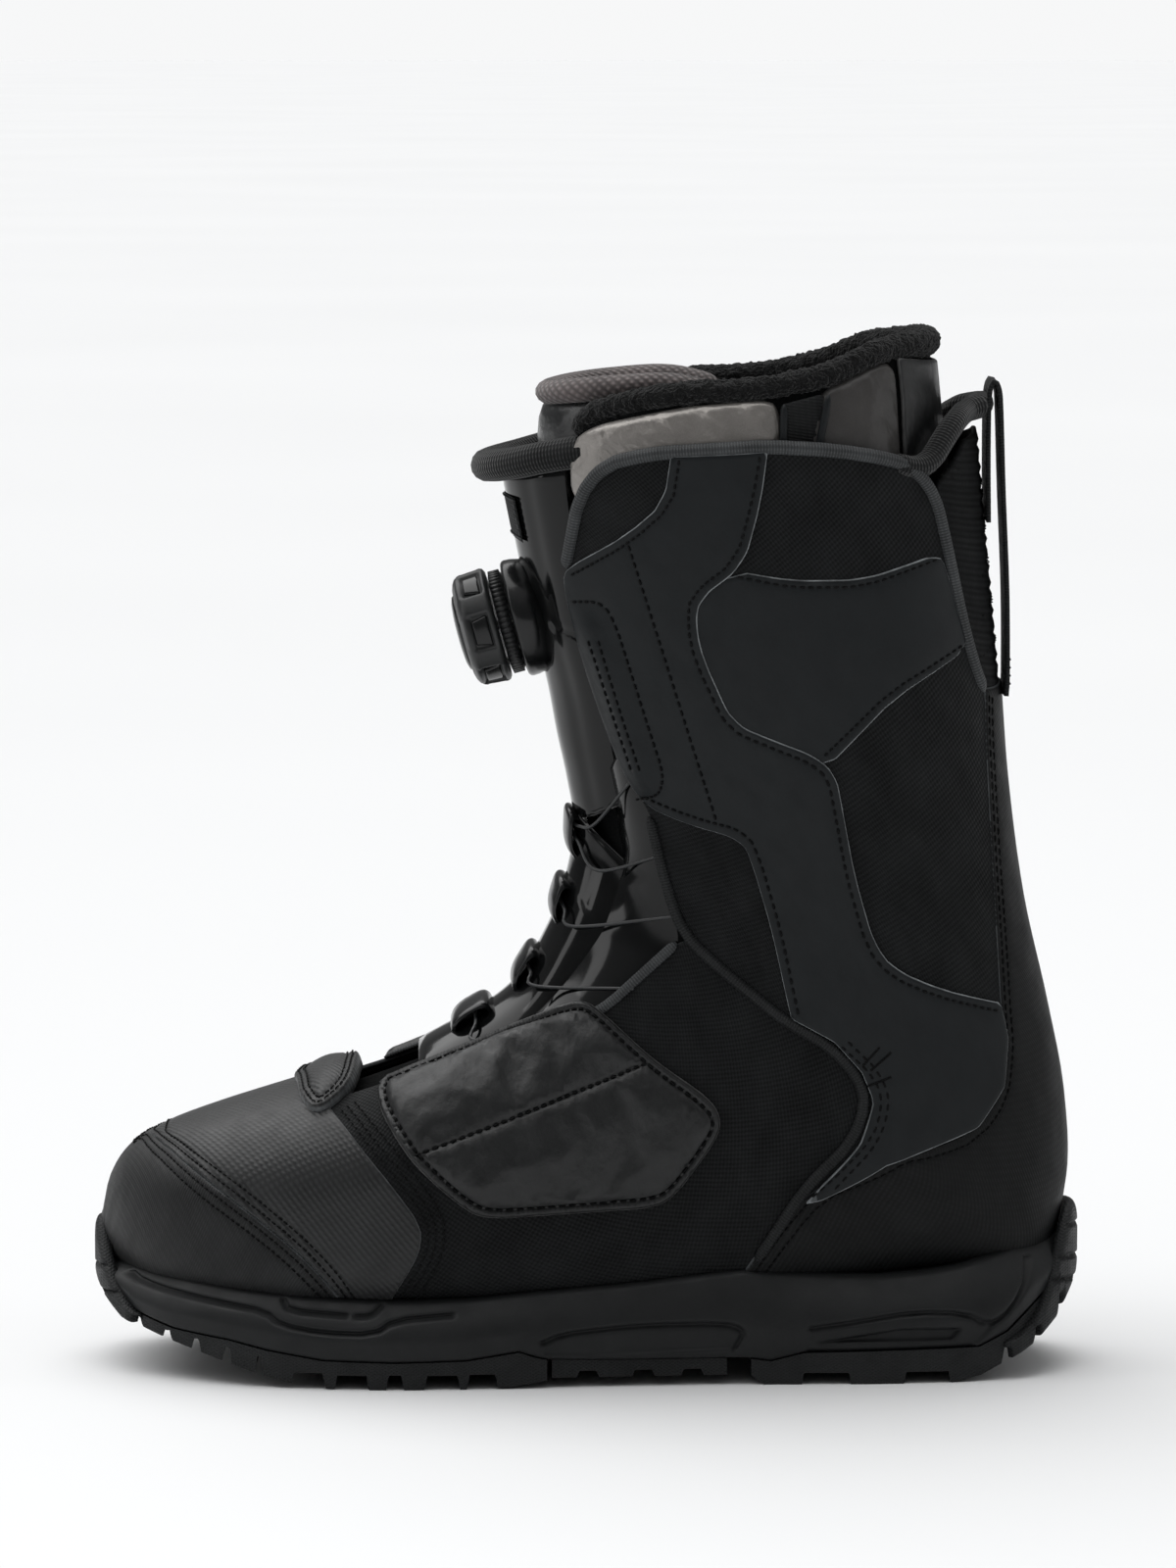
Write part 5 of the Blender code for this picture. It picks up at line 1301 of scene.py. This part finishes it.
def shag(obj):
    """Short pile: the mesh made finer and moved out by a seeded roughness."""
    modifier = obj.modifiers.new("fine", "SUBSURF")
    modifier.levels = modifier.render_levels = 1
    texture = bpy.data.textures.new("pile", "CLOUDS")
    texture.noise_scale = 0.0016
    move = obj.modifiers.new("pile", "DISPLACE")
    move.texture = texture
    move.strength = 0.0022
    move.mid_level = 0.5


# ---------------------------------------------------------------- the sole
SOLE_PLAN = (
    (-151.4, 4), (-146, -17), (-130, -36), (-103, -49), (-66, -55), (-30, -53.5), (10, -49.5),
    (50, -46), (90, -45), (124, -39), (143, -22), (150, 0), (143, 22), (124, 38), (90, 43.5),
    (50, 42), (15, 43), (-26, 49.5), (-64, 55), (-100, 51.5), (-128, 42), (-145, 25),
)
SOLE_MIDDLE = ((-152, 4), (-100, 1), (0, -3), (150, 0))  # x, y of the line between the sole's two sides
MIDSOLE_TOP = (
    (-156, 33.5), (-151, 33), (-145, 32.2), (-137, 31.5), (-127, 31), (-110, 29.1), (-90, 27.7), (-75, 27),
    (-60, 26.5), (-36, 27), (-15, 29), (12, 31), (30, 33), (48, 35), (60, 34), (75, 33), (90, 32.5), (105, 33.5),
    (116, 35), (129, 38), (143, 42), (156, 47),
)
MIDSOLE_BOTTOM = (
    (-156, 31), (-151.4, 30), (-144, 23.5), (-139, 19.4), (-127.4, 16.2), (-120.5, 15.4), (-110, 14.2), (-98, 11.6),
    (-81, 9), (-59, 8.5), (-37, 9), (-21, 11.5), (-16, 9.8), (-12, 9), (12, 8.5), (48, 8.5), (56, 7.5), (66, 10),
    (120, 11), (129, 15), (144, 28), (156, 38),
)
GROOVES = (
    ((-144, 30), (-140, 28.6), (-129, 27), (-113, 25), (-99, 23.2), (-94, 19.5), (-81, 17.4), (-65, 17.2),
     (-59, 21.2), (-41, 22.6)),
    ((-94, 26.5), (-92, 23.6), (-74, 22.4)),
    ((-71, 22.2), (-66, 22.4), (-63, 25.4)),
    ((-14, 14), (-8, 16.6), (5, 18), (20, 19), (42, 19), (47, 17.4), (47.5, 15), (45, 11.2)),
    ((68, 17.4), (81, 19.2), (100, 22), (116, 21.4), (122, 17.6), (127, 19), (133, 26), (138, 36)),
)
LENS = ((67, 12.6), (81, 15), (96, 17.2), (115, 17), (112, 12.9))


def at_x(table, x):
    """The height that a table of (x, z) gives at x."""
    return np.interp(x, *np.array(table).T)


def plan_line(outset, step):
    line = catmull(SOLE_PLAN, 10, True)
    return resample(line - left_of(round_trip(line)) * outset, step, True)


def soften_values(values, width=7):
    """A running mean along a row of values, with its ends held."""
    padded = np.pad(values, width // 2, mode="edge")
    return np.convolve(padded, np.ones(width) / width, mode="valid")


def midsole():
    """The cup sole's wall with its moulded grooves, lips and heel window, closed inwards."""
    line = plan_line(0.0, 0.7)
    out = -left_of(round_trip(line))
    if (out[0] * (-1, 0)).sum() < 0:
        out = -out
    top = at_x(MIDSOLE_TOP, line[:, 0])
    low = at_x(MIDSOLE_BOTTOM, line[:, 0])
    f = np.linspace(0, 1, 48)[:, None]
    z = low + (top - low) * f
    x = np.broadcast_to(line[:, 0], z.shape)
    spot = np.stack([x.ravel(), z.ravel()], 1)
    wall = 0.9 * np.sin(math.pi * np.clip(f, 0, 1)) * np.ones_like(x)
    wall = wall - 1.4 * np.clip((f - 0.93) / 0.07, 0, 1) ** 2 - 0.8 * np.clip((0.06 - f) / 0.06, 0, 1) ** 2
    cut = np.zeros(len(spot))
    for groove in GROOVES:
        cut = np.maximum(cut, np.exp(-((away(spot, soften(groove, 1)) / 0.68) ** 2)))
    loop = np.array(LENS)
    inside = within(spot, loop)
    edge = away(spot, loop, True)
    arch = np.array(GROOVES[3] + ((0, 9.4), (-14, 10)))
    heel_loop = np.array(GROOVES[4][:6] + ((118, 10), (66, 9)))
    wall = wall - 1.9 * cut.reshape(x.shape)
    wall = wall - (1.8 * inside * np.minimum(1, edge / 0.7)).reshape(x.shape)
    for loop, deep in ((arch, -0.9), (heel_loop, -0.9)):
        d = away(spot, loop, True)
        wall = wall + (deep * within(spot, loop) * np.minimum(1, d / 0.9)).reshape(x.shape)
    xs = np.linspace(-132, 136, 60)
    lean = []
    for side in (-1, 1):
        edge = lifted(onto(np.stack([xs, at_x(MIDSOLE_TOP, xs) + 1.5], 1), side), np.full(60, 1.0))
        own = line[np.sign(line[:, 1]) == side]
        own = own[np.argsort(own[:, 0])]
        gap = np.abs(np.interp(xs, own[:, 0], own[:, 1])) - np.abs(edge[:, 1])
        lean.append(np.interp(line[:, 0], xs, np.clip(soften_values(gap), 0, 8)))
    lean = np.where(line[:, 1] < 0, lean[0], lean[1])
    lean = soften_values(np.tile(lean, 3), 25)[len(lean):2 * len(lean)]
    wall = wall - lean * np.clip((f - 0.3) / 0.7, 0, 1) ** 1.6
    place = line[None] + out[None] * wall[..., None]
    outer = np.concatenate([place, z[..., None]], -1)
    inner = np.concatenate([line[None] - out[None] * (9.0 + (lean - 2.0) * f)[..., None], z[..., None]], -1)
    shell("midsole_wall", outer, inner, "midsole_rubber", "midsole_foam", "lower", closed=True, replaces=("midsole",))


def sole_floor():
    """The underside between the treads."""
    line = plan_line(-7.5, 4.0)
    x = np.linspace(-142, 141, 90)
    y = line[:, 1]
    close = [np.abs(line[:, 0] - v) < 6 for v in x]
    low_y = np.array([y[near & (y < 4)].mean() for near in close])
    high_y = np.array([y[near & (y >= 4 - 8 * (abs(v) > 138))].mean() for near, v in zip(close, x)])
    base = at_x(MIDSOLE_BOTTOM, x)
    t = np.linspace(0, 1, 30)
    y = low_y[:, None] * (1 - t) + high_y[:, None] * t
    grid = np.stack([np.broadcast_to(x[:, None], y.shape), y, np.broadcast_to(base[:, None] + 0.6, y.shape)], -1)
    shell("sole_floor", grid[:, ::-1], grid[:, ::-1] + (0, 0, 8.0), "midsole_rubber", "midsole_foam", "lower")


FOREFOOT_LOW = (
    (-156, 29), (-152, 25.5), (-148, 21), (-142.5, 16.6), (-130, 12.9), (-120.4, 10.2), (-110.8, 7.2), (-101, 4.2),
    (-92, 2), (-81, 0.4), (-72, 0), (-38, 0), (-22, 0.8), (-12, 2.5),
)
SHANK_LOW = ((-11, 3), (43, 3))
HEEL_LOW = ((50, 3), (54, 0), (112, 0), (120.5, 2), (128, 5.5), (136, 10), (143.4, 16), (149.6, 25), (156, 36))
# Grooves across the tread: x, half width, height of the ceiling.
FOREFOOT_SLOTS = (
    (-138.6, 1.0, 18.4), (-129.2, 1.1, 15.2), (-120, 1.1, 13.6), (-110.4, 1.1, 11.8), (-100.4, 1.0, 9.6),
    (-85.3, 4.8, 5), (-72, 4.8, 4.4), (-58.8, 2.3, 4.6), (-44.4, 5, 4.4), (-32.2, 4.3, 4.6),
)
HEEL_SLOTS = ((73, 7.2, 3.6), (104, 6.8, 3.6), (128.6, 1.1, 10), (137, 1.1, 15.5), (144.6, 1.1, 23.5))


def plan_sides(inset, x):
    """Where the sole's outline crosses x, on the outer and the inner side."""
    line = plan_line(-inset, 0.5)
    outer = line[:, 1] < at_x(SOLE_MIDDLE, line[:, 0])
    sides = []
    for part in (line[outer], line[~outer]):
        part = part[np.argsort(part[:, 0])]
        sides.append(np.interp(x, part[:, 0], part[:, 1], left=np.nan, right=np.nan))
    return [np.where(np.isnan(side), at_x(SOLE_MIDDLE, x), side) for side in sides]


def tread(name, start, end, low, slots, inset=0.4):
    """A lugged plate under the cup sole: grooves from its edges to a rib along the middle."""
    x = np.arange(start, end, 0.5)
    near, far = plan_sides(inset, x)
    t = np.sin(np.linspace(-1, 1, 71) * math.pi / 2) * 0.5 + 0.5
    y = near[:, None] * (1 - t) + far[:, None] * t
    base = at_x(low, x)[:, None] * np.ones_like(y)
    roof = at_x(MIDSOLE_BOTTOM, x)[:, None] * np.ones_like(y) - 0.3
    edge = np.minimum(y - near[:, None], far[:, None] - y)
    z = base.copy()
    for at, half, ceiling in slots:
        deep = np.clip((half - np.abs(x[:, None] - at)) / 0.5 + 0.5, 0, 1) * np.clip((np.abs(y + 1) - 5) / 0.8, 0, 1)
        floor = ceiling + (1.2 * np.clip((edge - 4) / 3, 0, 1) if half > 3 else 0)
        z = np.maximum(z, base + (np.minimum(floor, roof - 1) - base) * deep)
    for reach in (17, 31):
        groove = np.exp(-(((np.abs(y + 1) - reach) / 0.8) ** 2)) * (np.abs(z - base) < 0.1)
        z = z + 1.6 * groove * np.clip((edge - 2) / 2, 0, 1)
    z = np.minimum(z, roof - 0.6)
    bottom = np.stack([np.broadcast_to(x[:, None], y.shape), y, z], -1)
    top = np.stack([np.broadcast_to(x[:, None], y.shape), y, roof], -1)
    shell(name + "_tread", bottom[:, ::-1], top[:, ::-1], "rubber", "rubber", "lower", smooth=False, replaces=(name,))


def bumper(name, ends, upper, low, blocks, slots):
    """The outsole turned up round the toe or the heel, in blocks parted by grooves."""
    line = plan_line(0.0, 0.5)
    if ends < 0:
        line = np.roll(line, len(line) // 2, 0)
    line = line[line[:, 0] * np.sign(ends) > abs(ends)]
    out = -left_of(unit(np.gradient(line, axis=0)))
    out *= np.sign((out * line).sum(1))[:, None]
    f = np.linspace(0, 1, 61)[:, None]
    bottom, top = at_x(low, line[:, 0]), at_x(upper, line[:, 0])
    for at, half, ceiling in slots:
        deep = np.clip((half - np.abs(line[:, 0] - at)) / 0.5 + 0.5, 0, 1)
        bottom = np.maximum(bottom, bottom + (ceiling - bottom) * deep)
    top = np.maximum(soften_values(top, 35), bottom + 0.8)
    z = bottom + (top - bottom) * f
    full = 2.5 * np.clip(1 - np.abs(2 * f - 1) ** 5, 0, 1) ** 0.5 * np.ones_like(z)
    end = np.minimum(1, np.minimum(np.arange(len(line)), np.arange(len(line))[::-1]) / 9)
    reach = full * np.sqrt(end)
    for at in blocks:
        reach = reach - 1.3 * np.exp(-(((z - at - 0.12 * np.abs(line[:, 1])) / 0.6) ** 2)) * (reach > 1.5)
    outer = np.concatenate([line + out * reach[..., None], z[..., None]], -1)
    inner = np.concatenate([np.broadcast_to(line - out * 1.2, (*z.shape, 2)), z[..., None]], -1)
    shell(name, outer, inner, "rubber", "rubber", "lower")


def soles():
    tread("outsole_forefoot", -151, -12, FOREFOOT_LOW, FOREFOOT_SLOTS)
    tread("outsole_heel", 50, 149.4, HEEL_LOW, HEEL_SLOTS)
    tread("shank_pad", -11, 43, SHANK_LOW, ((0, 3, 5), (17, 3, 5), (32, 3, 5)), 1.5)
    bumper("toe_bumper", -137.5, ((-152, 45.6), (-150.6, 45), (-148.8, 33), (-144, 25), (-139.5, 18.8), (-137, 15.8)),
           FOREFOOT_LOW, (22, 30), FOREFOOT_SLOTS[:1])
    bumper("heel_bumper", 127.5, ((127, 10), (133.5, 13.8), (139, 19.5), (142.2, 27), (144, 35), (145.5, 47),
                                  (147.5, 49.5), (151, 50.5)), HEEL_LOW, (26, 33, 43), HEEL_SLOTS[2:])


# ---------------------------------------------------------------- the dial
DIAL_OUT = Vector((-math.cos(math.radians(15)), 0, -math.sin(math.radians(15))))
DIAL_AT = Vector((-20, 0, 232))
DIAL_SIDE = Vector((0, 1, 0))
DIAL_UP = DIAL_OUT.cross(DIAL_SIDE)
INSERT_FOOT, INSERT_TOP = 10.4, 15.5  # heights of the knob's glossy inserts


def dial_place(radius, turn, height):
    radius, turn, height = np.broadcast_arrays(*(np.asarray(v, float) for v in (radius, turn, height)))
    a, b, c = (np.array(v) for v in (DIAL_SIDE, DIAL_UP, DIAL_OUT))
    return (np.array(DIAL_AT) + (radius * np.cos(turn))[..., None] * a + (radius * np.sin(turn))[..., None] * b
            + height[..., None] * c)


def turned(name, profile, look, slot, body, steps=96, ripple=None, **more):
    """A closed ring turned round the dial's axis from a profile of (radius, height)."""
    turn = np.linspace(0, 2 * math.pi, steps, endpoint=False)
    profile = np.array(profile, float)
    radius = np.broadcast_to(profile[:, 0][None], (steps, len(profile))).copy()
    height = np.broadcast_to(profile[:, 1][None], radius.shape).copy()
    if ripple is not None:
        radius, height = ripple(turn[:, None], radius, height)
    points = dial_place(radius, turn[:, None], height).reshape(-1, 3)
    count = len(profile)
    faces = []
    for i in range(steps):
        here, there = i * count, (i + 1) % steps * count
        for k in range(count):
            after = (k + 1) % count
            faces.append((here + k, here + after, there + after, there + k))
    return piece(name, points, faces, look, slot, body, **more)


def dial():
    ribbed = lambda turn, radius, height: (
        np.where(radius > 15.5, radius + 0.35 * np.sign(np.sin(turn * 60)), radius), height)
    turned("dial_pedestal", ((2.6, -7), (16.0, -7), (17.6, -3.5), (18.3, -0.5), (18.4, 1.4), (18.2, 2.2), (17.5, 2.8),
                             (16.2, 3.0), (2.6, 3.0)), "gloss_plastic", "gloss_plastic", "tongue", 128,
                             replaces=("dial_base",))
    turned("dial_housing_wall", ((2.6, 3.3), (15.0, 3.3), (15.3, 3.5), (15.3, 7.2), (14.9, 7.4), (12.8, 7.4),
                                 (12.6, 7.2), (12.6, 4.6), (12.4, 4.4), (2.6, 4.4)), "matt_plastic", "matt_plastic",
                                 "tongue", 128,
           replaces=("dial_housing",))
    turned("dial_rib_ring", ((15.2, 3.6), (15.9, 3.7), (15.9, 7.1), (15.2, 7.2)), "matt_plastic", "matt_plastic",
           "tongue", 480, ribbed)

    def knob_shape(turn, radius, height):
        """Six trapezoid windows round the rim, and a scalloped front edge."""
        lobe = np.cos(turn * 6)
        rim = (radius > 17.0) & (height > 9.5) & (height < 16.8)
        window = 1 / (1 + np.exp(-(lobe + 0.35) * 14))
        front = (height > 18) & (radius > 14)
        return radius - np.where(rim, 1.5 * window, 0), height - np.where(front, 0.35 * window, 0)

    profile = ((12.0, 8.0), (16.6, 8.0), (17.6, 8.6), (17.9, 9.4), (17.9, 10.0), (17.75, 10.4), (17.7, 11.2),
               (17.6, 13.0), (17.45, 14.6), (17.4, 15.4), (17.5, 15.8), (17.2, 16.8), (16.4, 17.9), (15.2, 18.6),
               (13.6, 19.1), (12.2, 19.2), (12.2, 18.4), (12.0, 12.0))
    turned("dial_knob_grip", profile, "rubber_grip", "matt_plastic", "dial_knob", 288, knob_shape,
           replaces=("dial_knob",))
    for k in range(6):
        mid = math.pi / 3 * k
        f, t = net(INSERT_FOOT, INSERT_TOP, 15, -1, 1, 21)
        wide = np.radians(17.5) - np.radians(4.5) * (f - INSERT_FOOT) / 5.1
        edge = np.minimum(1, np.minimum((1 - np.abs(t)) * 5, np.minimum(f - INSERT_FOOT, INSERT_TOP - f) / 0.6))
        outer = dial_place(16.3 + 0.6 * np.sqrt(np.clip(1 - (1 - edge) ** 2, 0, 1)), mid + wide * t, f)
        inner = dial_place(np.full(f.shape, 15.4), mid + wide * t, f)
        shell(f"dial_grip_insert_{k}", outer, inner, "gloss_plastic", "gloss_plastic", "dial_knob")
    turned("dial_cap_face", ((0.04, 18.6), (11.9, 18.6), (11.95, 19.2), (11.4, 19.9), (9.5, 20.5), (6.0, 20.85),
                             (3.0, 20.95), (0.04, 20.95)),
           "gloss_plastic", "gloss_plastic", "dial_knob", 96, replaces=("dial_cap",))


CAD_LOOKS = {
    "lasting_board": "board", "footbed": "lining",
    "dial_spool": "gloss_plastic", "dial_screw": "steel", "dial_pawl_disc": "gloss_plastic",
}
for node, key in CAD_LOOKS.items():
    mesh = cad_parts[node].data
    mesh.materials.clear()
    mesh.materials.append(LOOKS[key])

for build in (backing, toe_and_vamp, quarters, heel, cuffs, instep_covers, lace_tab, rear_gusset, pull_loop, tongue,
              guides, cables, throat_lining, liner, midsole, sole_floor, soles, dial):
    build()
